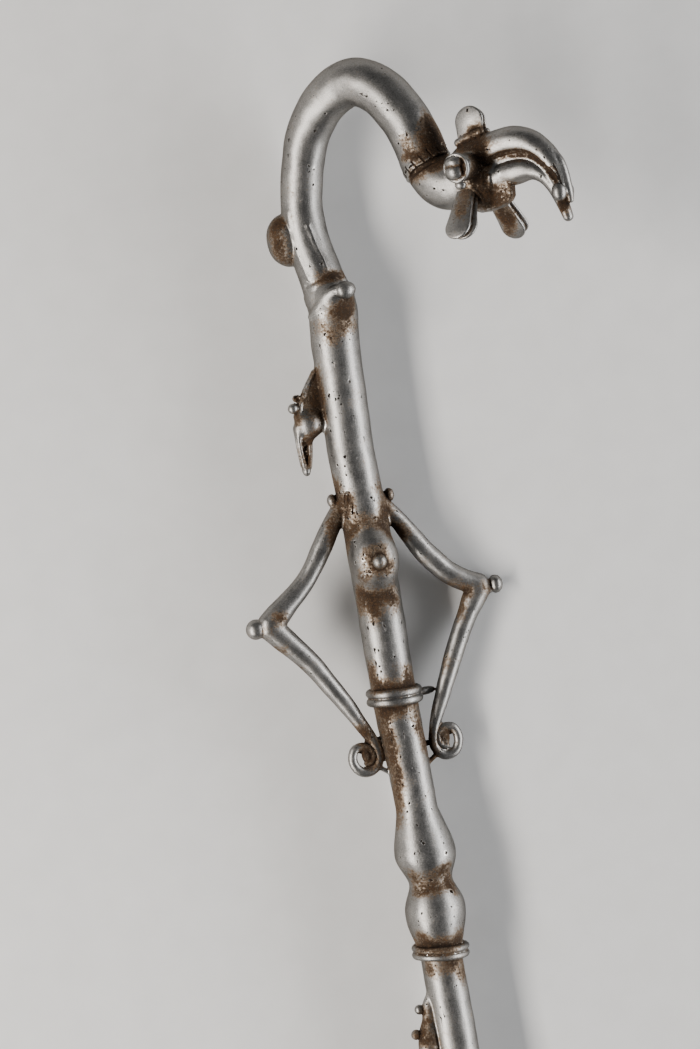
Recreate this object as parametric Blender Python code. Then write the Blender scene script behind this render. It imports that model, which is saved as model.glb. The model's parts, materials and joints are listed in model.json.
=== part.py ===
"""A ceremonial staff, cast in one piece of white metal, lying on its back.

The staff runs along Y, with its foot at the low end and its crook at the high end. It lies on
Z = 0, so that X is across it and Z is up. A place on the staff is given by how far it is from
the foot. Three plane frames carry what stands off the shaft: the crook's plane with the head,
the plane of the two arms, and one frame for each boss, turned about the shaft.
"""
import math

import bmesh
import bpy
from mathutils import Matrix, Vector

# Driving sizes in metres, and angles in degrees.
MM = 0.001
axis_up = 0.0148            # height of the shaft's centre line above the surface it lies on
shaft_sides = 16
arm_sides = 8
bead_sides = 10
bead_rings = 5

foot_radius = 0.0125
foot_height = 0.010
lower_radius = 0.0106       # the shaft below the belt
upper_radius = 0.0116       # the shaft above the belt
belt_up = 0.8408            # from the foot to the middle of the belt
belt_radius = 0.0140
belt_width = 0.0086

knop_radius = 0.0152
knop_up = 0.7330            # from the foot to the lower knop of the upper pair
lower_knop_up = 0.3450      # and to the lower knop of the lower pair
knop_apart = 0.0285         # between the two knops of a pair
knop_shoulder = 0.0250      # how far a knop runs out along the shaft
knop_waist = 0.0170
collar_drop = 0.0206        # from a pair's lower knop down to the ring below it
collar_radius = 0.0143
collar_width = 0.0070
foot_ring_up = 0.0420

crook_up = 1.0333           # from the foot to where the crook starts
crook_height = 0.1054
crook_radius = 0.0118
crook_turn = 35.0           # how far the head's plane stands up from the floor

elbow_up = 0.8855
arm_turn = 11.0             # how far the right arm leans down, and the left arm up
left_bead_reach = 0.0626
right_bead_reach = 0.0592
left_bead_sizes = (0.0050, 0.0050, 0.0050)
right_bead_sizes = (0.0036, 0.0046, 0.0044)
wrist_radius = 0.0024
shoulder_beads_up = {-1: 0.0550, 1: 0.0530}     # left and right, from the elbows
shoulder_bead_reach = 0.0142
shoulder_bead_radius = 0.0030
left_coil = (0.0200, 0.0724, 0.0066, 0.0070)    # out from the shaft, down from the elbow,
right_coil = (0.0212, 0.0711, 0.0064, 0.0076)   # and the coil's half width and half height
coil_turns = 0.80
coil_tightening = 0.20

navel_up = 0.9090
navel_turn = 10.0           # the way a boss faces, from straight up towards the right
navel_width = 0.0118
navel_length = 0.0145
navel_rise = 0.0200
shoulder_boss_above = 0.0017    # above where the crook starts
shoulder_boss_turn = 25.0
shoulder_boss_sizes = (0.0096, 0.0125, 0.0086)
shoulder_boss_rise = 0.0070     # how far it stands off the shaft
shoulder_bead_above = 0.0056    # its bead, from its middle towards the crook
boss_bead_radius = 0.0038
knob_above = 0.0364         # above where the crook starts
knob_turn = -110.0
knob_reach = 0.0140
knob_width = 0.0105
knob_length = 0.0132
spike_turn = 118.0
spike_sizes = (0.0017, 0.0019, 0.0044)

bird_up = 0.9790            # from the foot to the small bird's body
bird_reach = 0.0185
bird_size = 0.0480
beast_up = 0.6640
beast_reach = 0.0135
beast_size = 0.0440

head_size = 0.0500          # from the middle of the head to the front of the beak
eye_reach = 0.0225
eye_radius = 0.0064
ear_length = 0.0262
ear_width = 0.0136
crest_length = 0.0215
paddle_thick = 0.0046
paddle_groove = 0.0009

metal_colour = (0.62, 0.60, 0.57, 1.0)


def fresh_collection(name):
    """A new collection in the scene."""
    collection = bpy.data.collections.new(name)
    bpy.context.scene.collection.children.link(collection)
    return collection


for old in list(bpy.data.objects):
    bpy.data.objects.remove(old)
staff_collection = fresh_collection("ceremonial_staff")
piece_collection = fresh_collection("joined_shapes")


def turned(angle):
    """A frame whose Z points off the shaft, angle degrees from straight up towards the right."""
    return Matrix.Translation((0, 0, axis_up)) @ Matrix.Rotation(math.radians(angle), 4, "Y")


crook_frame = turned(90 - crook_turn) @ Matrix.Rotation(math.radians(-90), 4, "Y")
arm_frame = turned(arm_turn)


def smooth_rows(rows, steps):
    """Rows of numbers along a smooth curve through the given rows, steps to each span."""
    rows = [Vector(row) for row in rows]
    first = rows[0] * 2 - rows[1]
    last = rows[-1] * 2 - rows[-2]
    padded = [first, *rows, last]
    smooth = []
    for index in range(1, len(rows)):
        before, start, end, after = padded[index - 1:index + 3]
        for step in range(steps):
            t = step / steps
            bend = (2 * before - 5 * start + 4 * end - after) * t * t
            turn = (3 * start - before - 3 * end + after) * t * t * t
            smooth.append(start + 0.5 * ((end - before) * t + bend + turn))
    smooth.append(rows[-1])
    return smooth


def upper_place(share):
    """A place on the shaft, as a share of the way from the belt up to the crook."""
    return belt_up + share * (crook_up - belt_up)


def bell(distance, reach):
    """One at no distance, falling smoothly to nothing at the reach."""
    share = min(abs(distance) / reach, 1)
    return 0.5 + 0.5 * math.cos(math.pi * share)


def between(value, stops):
    """The value read from a line through the stops, each a place and what holds there."""
    if value <= stops[0][0]:
        return stops[0][1]
    for (low, a), (high, b) in zip(stops, stops[1:]):
        if value <= high:
            return a + (b - a) * (value - low) / (high - low)
    return stops[-1][1]


# The shaft

shaft_stops = [
    (0.0, lower_radius + 0.4 * MM),
    (knop_up - 0.040, lower_radius - 0.2 * MM),
    (knop_up + 0.060, lower_radius - 0.3 * MM),
    (belt_up - 0.012, upper_radius - 0.6 * MM),
    (upper_place(0.23), upper_radius - 0.3 * MM),
    (upper_place(0.74), upper_radius),
    (crook_up, upper_radius + 0.5 * MM),
]
sway_stops = [
    (knop_up - 0.075, 0.4 * MM),
    (knop_up - 0.030, -0.1 * MM),
    (knop_up - 0.006, 0.7 * MM),
    (knop_up + 0.015, 1.4 * MM),
    (knop_up + 0.036, 0.9 * MM),
    (knop_up + 0.073, 0.5 * MM),
    (belt_up - 0.008, -0.7 * MM),
    (upper_place(0.39), 0.3 * MM),
    (upper_place(0.64), -0.9 * MM),
    (upper_place(0.91), 1.0 * MM),
    (crook_up, 2.5 * MM),
]


def knops_radius(up, pair_up, base):
    """The shaft's radius at a pair of knops whose lower one is at pair_up."""
    lower_reach = knop_shoulder if up < pair_up else knop_waist
    upper_reach = knop_waist if up < pair_up + knop_apart else knop_shoulder
    rise = knop_radius - base
    lower = bell(up - pair_up, lower_reach)
    upper = bell(up - pair_up - knop_apart, upper_reach)
    return base + rise * min(lower + upper, 1)


def shaft_radius(up):
    """The shaft's radius, knops and all, without its rings."""
    base = between(up, shaft_stops)
    radius = max(knops_radius(up, knop_up, base), knops_radius(up, lower_knop_up, base))
    if up < foot_height:
        radius = foot_radius
    return radius


def shaft_centre(up):
    """The middle of the shaft, which sways a little from side to side."""
    return Vector((between(up, sway_stops), up, axis_up))


def ring_rows(up, width, radius):
    """Places and radii over a ring of two threads laid side by side."""
    base = shaft_radius(up)
    rise = radius - base
    profile = [(-0.50, 0.0), (-0.43, 0.62), (-0.26, 1.0), (-0.10, 0.80), (0.0, 0.35),
               (0.10, 0.80), (0.26, 1.0), (0.43, 0.62), (0.50, 0.0)]
    return [(up + along * width, base + share * rise) for along, share in profile]


def knop_rows(pair_up):
    """Places and radii over a pair of knops."""
    low = pair_up - knop_shoulder * 0.62
    high = pair_up + knop_apart + knop_shoulder
    count = 13
    places = [low + (high - low) * index / (count - 1) for index in range(count)]
    return [(up, shaft_radius(up)) for up in places]


def shaft_rows():
    """Every place along the straight shaft where its radius is given."""
    rows = [(0.0, foot_radius - 1.0 * MM), (1.2 * MM, foot_radius), (foot_height, foot_radius)]
    rows.append((foot_height + 3.0 * MM, shaft_radius(foot_height + 3.0 * MM)))
    rows += ring_rows(foot_ring_up, collar_width, collar_radius)
    for pair_up in (lower_knop_up, knop_up):
        rows += ring_rows(pair_up - collar_drop, collar_width, collar_radius)
        rows += knop_rows(pair_up)
    rows += ring_rows(belt_up, belt_width, belt_radius)
    plain = [knop_up + 0.073, belt_up - 0.012, belt_up + 0.009]
    plain += [upper_place(share) for share in (0.23, 0.39, 0.64, 0.74, 0.91)]
    rows += [(up, shaft_radius(up)) for up in plain]
    return sorted(rows)


# The crook, in its own plane: across, up from where it starts, and radius, as shares of
# the crook's height and of its thickest radius.
crook_bends = [
    (0.029, 0.000, 1.02), (0.014, 0.070, 1.00), (0.010, 0.094, 0.93), (-0.008, 0.174, 0.92),
    (-0.042, 0.332, 0.89), (-0.046, 0.461, 0.88), (-0.026, 0.569, 0.88), (0.013, 0.693, 0.89),
    (0.080, 0.830, 0.92), (0.195, 0.941, 0.95), (0.351, 0.996, 1.00), (0.493, 0.930, 1.01),
    (0.595, 0.799, 1.01), (0.640, 0.693, 1.01), (0.662, 0.626, 1.01), (0.670, 0.579, 1.01),
    (0.679, 0.560, 0.93), (0.700, 0.520, 1.00), (0.742, 0.477, 1.06), (0.806, 0.455, 1.07),
    (0.890, 0.462, 1.04),
]


def crook_rows():
    """The middle line and radius of the crook, as places in the scene."""
    rows = []
    for across, up, thick in smooth_rows(crook_bends, 2):
        place = crook_frame @ Vector((across * crook_height, crook_up + up * crook_height, 0))
        rows.append((place, thick * crook_radius))
    return rows


def mesh_from(item):
    """The mesh of an object as the viewport shows it, with its loose caps welded."""
    depsgraph = bpy.context.evaluated_depsgraph_get()
    mesh = bpy.data.meshes.new_from_object(item.evaluated_get(depsgraph))
    working = bmesh.new()
    working.from_mesh(mesh)
    bmesh.ops.remove_doubles(working, verts=working.verts, dist=0.00001)
    bmesh.ops.recalc_face_normals(working, faces=working.faces)
    working.to_mesh(mesh)
    working.free()
    return mesh


def tube(name, path, radii, sides, frame=Matrix.Identity(4)):
    """A closed tube along a path, with its own radius at each point."""
    curve = bpy.data.curves.new(name, "CURVE")
    curve.dimensions = "3D"
    curve.bevel_depth = 1.0
    curve.bevel_resolution = sides // 2 - 2
    curve.use_fill_caps = True
    spline = curve.splines.new("POLY")
    spline.points.add(len(path) - 1)
    for point, place, radius in zip(spline.points, path, radii):
        point.co = (*place, 1.0)
        point.radius = radius
    wire = bpy.data.objects.new(name + "_line", curve)
    piece_collection.objects.link(wire)
    bpy.context.view_layer.update()
    mesh = mesh_from(wire)
    bpy.data.objects.remove(wire)
    piece = bpy.data.objects.new(name, mesh)
    mesh.transform(frame)
    return piece


def ball(name, place, sizes, frame=Matrix.Identity(4), sides=bead_sides, rings=bead_rings):
    """A round or oval ball, with its three half widths along the frame."""
    working = bmesh.new()
    bmesh.ops.create_uvsphere(working, u_segments=sides, v_segments=rings, radius=1.0)
    shape = frame @ Matrix.Translation(place) @ Matrix.Diagonal((*sizes, 1.0))
    bmesh.ops.transform(working, matrix=shape, verts=working.verts)
    mesh = bpy.data.meshes.new(name)
    working.to_mesh(mesh)
    working.free()
    return bpy.data.objects.new(name, mesh)


def bead(name, place, radius, frame=Matrix.Identity(4)):
    """A small round bead."""
    return ball(name, place, (radius, radius, radius), frame)


def paddle(name, length, width, frame):
    """A flat lobe standing along Y of its frame, two plates with a groove between their edges."""
    half = paddle_thick / 2
    groove = paddle_thick * 0.14
    levels = [(-half, 0), (-groove, 0), (-groove, paddle_groove), (groove, paddle_groove),
              (groove, 0), (half, 0)]
    arc_steps = 8
    tip = width / 2
    root = width * 0.36
    working = bmesh.new()
    loops = []
    for level, inset in levels:
        outline = [(-root + inset, 0), (-tip * 0.93 + inset, length * 0.38)]
        for step in range(arc_steps + 1):
            angle = math.pi * (1 - step / arc_steps)
            across = math.cos(angle) * (tip - inset)
            along = math.sin(angle) * (tip - inset)
            outline.append((across, length - tip + along))
        outline += [(tip * 0.93 - inset, length * 0.38), (root - inset, 0)]
        loops.append([working.verts.new((x, y, level)) for x, y in outline])
    for low, high in zip(loops, loops[1:]):
        count = len(low)
        for index in range(count):
            following = (index + 1) % count
            working.faces.new((low[index], low[following], high[following], high[index]))
    working.faces.new(loops[0])
    working.faces.new(loops[-1])
    bmesh.ops.recalc_face_normals(working, faces=working.faces)
    mesh = bpy.data.meshes.new(name)
    working.to_mesh(mesh)
    working.free()
    mesh.transform(frame)
    return bpy.data.objects.new(name, mesh)


# The arms' middle lines in their plane, in millimetres: out from the shaft, up from the elbows,
# and radius. Each arm is bent by hand, so the two differ.
left_upper_arm = [
    (7.5, 54.0, 4.5), (12.5, 48.5, 4.6), (17.1, 42.8, 4.7), (24.3, 32.2, 4.9), (31.9, 21.6, 4.7),
    (38.3, 15.0, 4.9), (44.3, 10.2, 5.3), (50.0, 5.5, 6.1), (54.8, 1.3, 6.4),
]
left_forearm = [
    (55.5, -0.9, 6.1), (50.4, -6.8, 6.1), (46.2, -11.8, 5.7), (38.6, -21.5, 5.1), (32.1, -32.3, 4.6),
    (25.6, -43.5, 4.3), (19.9, -54.8, 3.6), (17.0, -60.5, 3.1), (14.6, -66.0, 2.7),
]
right_upper_arm = [
    (7.5, 51.5, 4.3), (12.5, 45.2, 4.3), (16.8, 39.3, 4.5), (20.8, 32.5, 5.0), (27.3, 21.3, 5.6),
    (35.5, 11.4, 5.4), (42.3, 5.9, 5.4), (47.0, 3.1, 5.5), (50.6, 1.2, 5.7),
]
right_forearm = [
    (50.3, -1.2, 6.0), (46.3, -6.8, 5.8), (42.3, -12.8, 4.9), (34.2, -26.8, 4.7), (26.7, -42.0, 4.2),
    (23.1, -49.6, 3.7), (19.3, -57.4, 3.0), (16.3, -64.5, 2.5),
]


def arm_tube(name, side, rows):
    """A tube along rows of an arm in millimetres."""
    path = [(side * out * MM, elbow_up + up * MM, 0) for out, up, _ in rows]
    return tube(name, path, [radius * MM for _, _, radius in rows], arm_sides, arm_frame)


def coil_rows(coil):
    """The wrist wound outwards into a flat coil, as rows of an arm in millimetres."""
    out, drop, half_width, half_height = coil
    steps = 10
    rows = []
    for step in range(steps + 1):
        share = step / steps
        turn = math.pi * (1 + 2 * coil_turns * share)
        size = 1 - coil_tightening * share ** 4
        across = out + math.cos(turn) * half_width * size
        up = -drop + math.sin(turn) * half_height * size
        rows.append((across / MM, up / MM, wrist_radius * (1 - 0.15 * share) / MM))
    return rows


def add_arm(add, name, side, upper, lower, coil, bead_reach, bead_sizes):
    """An arm: shoulder to elbow, elbow to wrist, its coil, and its three beads."""
    add(arm_tube(name + "_upper_arm", side, upper))
    add(arm_tube(name + "_forearm", side, lower + coil_rows(coil)))
    elbow_out = upper[-1][0] * MM - 1.5 * MM
    elbow_radius = 0.96 * lower[0][2] * MM
    add(bead(name + "_elbow", (side * elbow_out, elbow_up, 0), elbow_radius, arm_frame))
    add(ball(name + "_elbow_bead", (side * bead_reach, elbow_up, 0), bead_sizes, arm_frame))
    neck_out = bead_reach - bead_sizes[0] - 0.2 * MM
    add(bead(name + "_elbow_neck", (side * neck_out, elbow_up - 2.0 * MM, 0), 2.3 * MM, arm_frame))
    shoulder_place = (side * shoulder_bead_reach, elbow_up + shoulder_beads_up[side], 0)
    small = shoulder_bead_radius
    add(ball(name + "_shoulder_bead", shoulder_place, (small * 0.85, small * 1.1, small), arm_frame))
    out, drop, half_width, half_height = coil
    curl_place = (side * (out - 0.3 * MM), elbow_up - drop + 0.25 * half_height, 0)
    add(ball(name + "_curl", curl_place, (2.3 * MM, half_height * 0.58, 2.1 * MM), arm_frame, 8, 6))
    link_from = (out - half_width * 0.8, -drop - half_height * 0.75)
    link_to = (shaft_radius(elbow_up - drop) - 1.5 * MM, -drop - half_height * 1.35)
    rows = [(x / MM, y / MM, 1.2) for x, y in (link_from, link_to)]
    add(arm_tube(name + "_link", side, rows))


# The bosses

def add_bosses(add):
    """The navel, the boss below the crook, the knob behind it and the belt's small spike."""
    frame = turned(navel_turn)
    low = navel_rise - navel_width
    add(ball("navel", (0, navel_up, low), (navel_width, navel_length, navel_width), frame, 16, 8))
    add(bead("navel_bead", (0, navel_up - 0.6 * MM, navel_rise + 0.6 * MM), boss_bead_radius, frame))
    frame = turned(shoulder_boss_turn)
    rise = upper_radius + shoulder_boss_rise
    boss_up = crook_up + shoulder_boss_above
    lean = Matrix.Rotation(math.radians(-24), 4, "X")
    base = Matrix.Translation((1.2 * MM, boss_up, rise - shoulder_boss_sizes[2] - 0.9 * MM))
    add(ball("boss", (0, 0, 0), shoulder_boss_sizes, frame @ base @ lean, 14, 8))
    place = (2.2 * MM, boss_up + shoulder_bead_above, rise + 0.4 * MM)
    add(bead("boss_bead", place, boss_bead_radius + 0.4 * MM, frame))
    frame = turned(knob_turn)
    middle = Vector((0, crook_up + knob_above, knob_reach))
    add(ball("back_knob", middle, (knob_width, knob_length, knob_width), frame, 14, 8))
    frame = turned(spike_turn)
    place = (0, belt_up - 1.0 * MM, belt_radius + 1.6 * MM)
    add(ball("belt_spike", place, spike_sizes, frame, 8, 6))


# The small bird on the left side and the beast below the knops, in the arms' plane

bird_neck = [(-0.19, 0.552, 0.034), (-0.11, 0.417, 0.062), (-0.04, 0.26, 0.092), (0.01, 0.115, 0.133)]
bird_bill = [(0.02, 0.09, 0.113), (0.052, -0.104, 0.09), (0.085, -0.27, 0.0625), (0.115, -0.44, 0.044),
             (0.12, -0.488, 0.033)]
bird_eyes = [(0.152, 0.192, 0.045), (0.085, 0.285, -0.07)]
beast_back = [(-0.114, 0.66, 0.041), (-0.07, 0.50, 0.082), (-0.055, 0.35, 0.089), (-0.02, 0.205, 0.114),
              (0.002, 0.045, 0.127), (-0.002, -0.16, 0.123), (-0.04, -0.41, 0.105), (-0.098, -0.64, 0.068),
              (-0.136, -0.795, 0.041)]
beast_beads = [(0.045, 0.49), (0.132, 0.22)]


def side_tube(name, rows, up, reach, size):
    """A tube on the staff's left side, its rows as shares of the creature's size."""
    path = [(-reach - out * size, up + along * size, 0) for out, along, _ in rows]
    return tube(name, path, [thick * size for _, _, thick in rows], 8, arm_frame)


def add_creatures(add):
    """The bird with its two eyes and bill, and the low beast with its two beads."""
    add(side_tube("bird_neck", bird_neck, bird_up, bird_reach, bird_size))
    add(side_tube("bird_bill", bird_bill, bird_up, bird_reach, bird_size))
    body = bird_size * 0.137
    add(ball("bird_body", (-bird_reach, bird_up, 0), (body, body * 1.1, body), arm_frame, 10, 7))
    for index, (out, along, rise) in enumerate(bird_eyes):
        eye = (-bird_reach - out * bird_size, bird_up + along * bird_size, rise * bird_size)
        add(bead(f"bird_eye_{index}", eye, 0.056 * bird_size, arm_frame))
    add(side_tube("beast_back", beast_back, beast_up, beast_reach, beast_size))
    for index, (out, along) in enumerate(beast_beads):
        place = (-beast_reach - out * beast_size, beast_up + along * beast_size, 0)
        add(bead(f"beast_bead_{index}", place, 0.056 * beast_size, arm_frame))


# The head, in the crook's plane: forwards and up from the crook's end as shares of the
# head's size, and radius in the same shares.
upper_beak = [
    (0.08, 0.20, 0.160), (0.28, 0.250, 0.146), (0.50, 0.270, 0.134), (0.68, 0.215, 0.126),
    (0.81, 0.115, 0.114), (0.90, -0.015, 0.102), (0.945, -0.155, 0.088), (0.950, -0.290, 0.066),
    (0.925, -0.380, 0.044),
]
lower_beak = [
    (0.04, -0.06, 0.140), (0.32, -0.040, 0.106), (0.50, -0.036, 0.098), (0.64, -0.066, 0.094),
    (0.74, -0.146, 0.090), (0.806, -0.256, 0.082), (0.862, -0.376, 0.070), (0.908, -0.490, 0.050),
]
beak_web = [
    (0.10, 0.06, 0.130), (0.34, 0.100, 0.090), (0.52, 0.110, 0.084), (0.68, 0.070, 0.080),
    (0.79, -0.020, 0.074), (0.86, -0.130, 0.066), (0.893, -0.250, 0.056), (0.900, -0.350, 0.044),
]


def head_place(forward, up, aside=0.0):
    """A place in the crook's frame, from shares of the head's size past the crook's end."""
    end_across, end_up, _ = crook_bends[-1]
    middle_x = end_across * crook_height + 2.2 * MM
    middle_y = crook_up + end_up * crook_height + 0.3 * MM
    return Vector((middle_x + forward * head_size, middle_y + up * head_size, aside))


def beak_tube(name, rows, sides, widen):
    """One part of the beak, wider from side to side than it is tall."""
    path = [head_place(forward, up) for forward, up, _ in rows]
    wide = crook_frame @ Matrix.Diagonal((1.0, 1.0, widen, 1.0))
    return tube(name, path, [thick * head_size for _, _, thick in rows], sides, wide)


def add_eye(add, side):
    """An eye on a stalk, with a rolled rim and a domed ball."""
    root = head_place(0.085, 0.105)
    name = "near" if side > 0 else "far"
    path = [root + Vector((0, 0, side * step)) for step in (0.0, eye_reach - 1.4 * MM, eye_reach)]
    radii = [eye_radius * 0.96, eye_radius * 0.96, eye_radius * 0.90]
    add(tube(f"{name}_stalk", path, radii, 12, crook_frame))
    collar = [root + Vector((0, 0, side * step)) for step in
              (eye_reach - 4.0 * MM, eye_reach - 3.2 * MM, eye_reach - 1.0 * MM, eye_reach - 0.3 * MM)]
    add(tube(f"{name}_rim", collar, [eye_radius * k for k in (0.99, 1.12, 1.12, 1.0)], 12, crook_frame))
    place = root + Vector((0, 0, side * (eye_reach - 2.0 * MM)))
    add(ball(f"{name}_eye", place, (eye_radius * 0.8, eye_radius * 0.8, 3.9 * MM), crook_frame))


def add_ear(add, side):
    """A flat ear, hanging down from the cheek and spread outwards."""
    name = "near" if side > 0 else "far"
    root = head_place(0.07, -0.10, side * 0.172 * head_size)
    spread = Matrix.Rotation(math.radians(180 - side * 33), 4, "X")
    turn, length = (-9, ear_length) if side > 0 else (2, ear_length * 1.12)
    frame = crook_frame @ Matrix.Translation(root) @ Matrix.Rotation(math.radians(turn), 4, "Z") @ spread
    add(paddle(f"{name}_ear", length, ear_width, frame))


def add_head(add):
    """The head on the crook's end: skull, throat, beak, eyes, ears and crest."""
    skull = (0.30 * head_size, 0.335 * head_size, 0.245 * head_size)
    add(ball("skull", head_place(0.03, 0.01), skull, crook_frame, 14, 9))
    throat = (0.20 * head_size, 0.14 * head_size, 0.17 * head_size)
    add(ball("throat", head_place(0.12, -0.22), throat, crook_frame, 10, 6))
    add(beak_tube("upper_beak", upper_beak, 12, 1.12))
    add(beak_tube("lower_beak", lower_beak, 10, 1.12))
    add(beak_tube("beak_web", beak_web, 8, 1.15))
    for side in (-1, 1):
        add_eye(add, side)
        add_ear(add, side)
        nostril = head_place(0.925, -0.290, side * 0.060 * head_size)
        add(bead(f"nostril_{side + 1}", nostril, 0.070 * head_size, crook_frame))
    root = head_place(0.01, 0.245)
    crest_frame = crook_frame @ Matrix.Translation(root) @ Matrix.Rotation(math.radians(-6), 4, "Z")
    add(paddle("crest", crest_length, ear_width, crest_frame))
    for side in (-1, 1):
        path = [head_place(-0.07, 0.350, side * 2.6 * MM), head_place(0.17, 0.395, side * 2.6 * MM)]
        add(tube(f"crest_roll_{side + 1}", path, [2.4 * MM, 2.4 * MM], 8, crook_frame))


def metal():
    """Satin white metal, as cast and rubbed."""
    material = bpy.data.materials.new("cast_white_metal")
    material.use_nodes = True
    shader = material.node_tree.nodes["Principled BSDF"]
    shader.inputs["Base Color"].default_value = metal_colour
    shader.inputs["Metallic"].default_value = 1.0
    shader.inputs["Roughness"].default_value = 0.36
    return material


def build_staff():
    """The one casting: the shaft and crook, joined with all that stands on them."""
    rows = [(shaft_centre(up), radius) for up, radius in shaft_rows()] + crook_rows()
    staff = tube("cast_staff", [place for place, _ in rows], [radius for _, radius in rows], shaft_sides)
    staff_collection.objects.link(staff)
    staff.data.materials.append(metal())

    def add(piece):
        piece_collection.objects.link(piece)
        piece.hide_render = True
        piece.display_type = "WIRE"
        joint = staff.modifiers.new(piece.name, "BOOLEAN")
        joint.operation = "UNION"
        joint.solver = "MANIFOLD"
        joint.object = piece

    add_arm(add, "left", -1, left_upper_arm, left_forearm, left_coil, left_bead_reach, left_bead_sizes)
    add_arm(add, "right", 1, right_upper_arm, right_forearm, right_coil, right_bead_reach, right_bead_sizes)
    add_bosses(add)
    add_creatures(add)
    add_head(add)
    return staff


def lay_down(staff):
    """Small flats where the staff rests, and its origin under the middle of its box."""
    working = bmesh.new()
    bmesh.ops.create_cube(working, size=1.0)
    below = Matrix.Translation((0, 0.6, -0.05)) @ Matrix.Diagonal((0.6, 1.6, 0.1, 1.0))
    bmesh.ops.transform(working, matrix=below, verts=working.verts)
    mesh = bpy.data.meshes.new("floor_cut")
    working.to_mesh(mesh)
    working.free()
    floor = bpy.data.objects.new("floor_cut", mesh)
    piece_collection.objects.link(floor)
    floor.hide_render = True
    floor.display_type = "WIRE"
    cut = staff.modifiers.new("flats", "BOOLEAN")
    cut.operation = "DIFFERENCE"
    cut.solver = "EXACT"
    cut.object = floor
    bpy.context.view_layer.update()
    depsgraph = bpy.context.evaluated_depsgraph_get()
    corners = [Vector(corner) for corner in staff.evaluated_get(depsgraph).bound_box]
    middle_x = (min(c.x for c in corners) + max(c.x for c in corners)) / 2
    middle_y = (min(c.y for c in corners) + max(c.y for c in corners)) / 2
    stand = bpy.data.objects.new("staff_origin", None)
    staff_collection.objects.link(stand)
    stand.location = (-middle_x, -middle_y, 0)
    for item in [staff, *piece_collection.objects]:
        item.parent = stand
    bpy.context.view_layer.update()


lay_down(build_staff())
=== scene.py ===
import json
import math

import bmesh
import bpy
import numpy as np
from mathutils import Matrix, Vector

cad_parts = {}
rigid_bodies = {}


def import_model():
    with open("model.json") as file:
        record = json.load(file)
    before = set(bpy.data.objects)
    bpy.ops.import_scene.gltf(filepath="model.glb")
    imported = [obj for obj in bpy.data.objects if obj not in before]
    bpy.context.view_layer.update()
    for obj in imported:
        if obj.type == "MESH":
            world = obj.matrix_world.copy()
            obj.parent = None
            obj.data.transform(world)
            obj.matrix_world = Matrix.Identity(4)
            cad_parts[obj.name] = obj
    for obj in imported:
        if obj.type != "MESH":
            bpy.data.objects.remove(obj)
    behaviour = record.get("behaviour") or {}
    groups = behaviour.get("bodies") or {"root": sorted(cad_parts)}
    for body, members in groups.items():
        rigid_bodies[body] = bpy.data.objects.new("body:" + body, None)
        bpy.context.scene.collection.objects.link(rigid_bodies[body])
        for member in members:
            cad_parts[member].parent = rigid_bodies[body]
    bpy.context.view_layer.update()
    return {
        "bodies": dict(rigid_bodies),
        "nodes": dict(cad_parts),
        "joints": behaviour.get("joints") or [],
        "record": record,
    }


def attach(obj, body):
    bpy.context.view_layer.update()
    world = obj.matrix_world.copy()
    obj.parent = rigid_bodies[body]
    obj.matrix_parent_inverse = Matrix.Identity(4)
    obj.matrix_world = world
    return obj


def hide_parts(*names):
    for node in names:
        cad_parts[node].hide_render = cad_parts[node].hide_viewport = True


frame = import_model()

MM = 0.001

# Driving sizes, in millimetres, and angles in degrees
axis_up = 14.8
foot_radius = 12.5
foot_height = 10.0
foot_edge = 1.2
lower_radius = 10.6
upper_radius = 11.6
belt_up = 840.8
belt_radius = 14.0
belt_width = 8.6
knop_radius = 15.2
knop_up = 733.0
lower_knop_up = 345.0
knop_apart = 28.5
knop_shoulder = 25.0
knop_waist = 17.0
collar_drop = 20.6
collar_radius = 14.3
collar_width = 7.0
foot_ring_up = 42.0
crook_up = 1033.3
crook_height = 105.4
crook_radius = 11.8
crook_turn = 35.0
crook_overlap = 12.0         # how far below crook_up the straight shaft ends
back_knob_up = 1069.7
elbow_up = 885.5
arm_turn = 11.0
navel_up = 909.0
navel_turn = 10.0
bird_up = 979.0
bird_reach = 18.5
bird_size = 48.0
beast_up = 664.0
beast_reach = 13.5
beast_size = 44.0
head_size = 50.0
head_shift = (2.2, 0.3)      # of the head's middle from the crook's end
eye_reach = 22.5
eye_radius = 6.4
ear_length = 26.2
ear_width = 13.6
crest_length = 21.5
crest_width = 15.6
# The camera looks down on the lying staff, rolled as the photo is. The photo's sizes are in pixels
camera_place = (-7.4, 1033.2, 1795.5)
camera_tilt = 3.4
camera_roll = 10.0
focal_pixels = 3640.0
photo_width = 700.0
photo_height = 1049.0
film_height = 36.0
mm_per_pixel = 0.49          # on the staff, in the photo
clear_up = 112.0             # clear of the whole staff: rows and marks are brought in from here
earth_share = 0.5            # of a patch's half size is full earth, with a soft edge round it
earth_soft = 6.0             # the soft edge, in millimetres
voxel = 0.5                  # the grain of the close mesh, before it is thinned
most_triangles = 121000      # before the finely worked places are made closer

node_name = "cast_staff"
foot_end = next(m for m in frame["record"]["mounts"] if m["name"] == "foot_end")["pos_m"]
origin = Vector((foot_end[0] - 0.4 * MM, foot_end[1], 0.0))


# Frames on the staff

def turned(angle):
    """A frame whose Z points off the shaft, angle degrees from straight up towards the right."""
    return Matrix.Translation((0, 0, axis_up)) @ Matrix.Rotation(math.radians(angle), 4, "Y")


crook_frame = turned(90 - crook_turn) @ Matrix.Rotation(math.radians(-90), 4, "Y")
arm_frame = turned(arm_turn)


def into(matrix, points):
    """Points of the staff's frame, seen in a frame on the staff."""
    grid = np.array(matrix)
    return (points - grid[:3, 3]) @ grid[:3, :3]


def out_of(matrix, points):
    """Points of a frame on the staff, seen in the staff's frame."""
    grid = np.array(matrix)
    return points @ grid[:3, :3].T + grid[:3, 3]


# Curves

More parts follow.
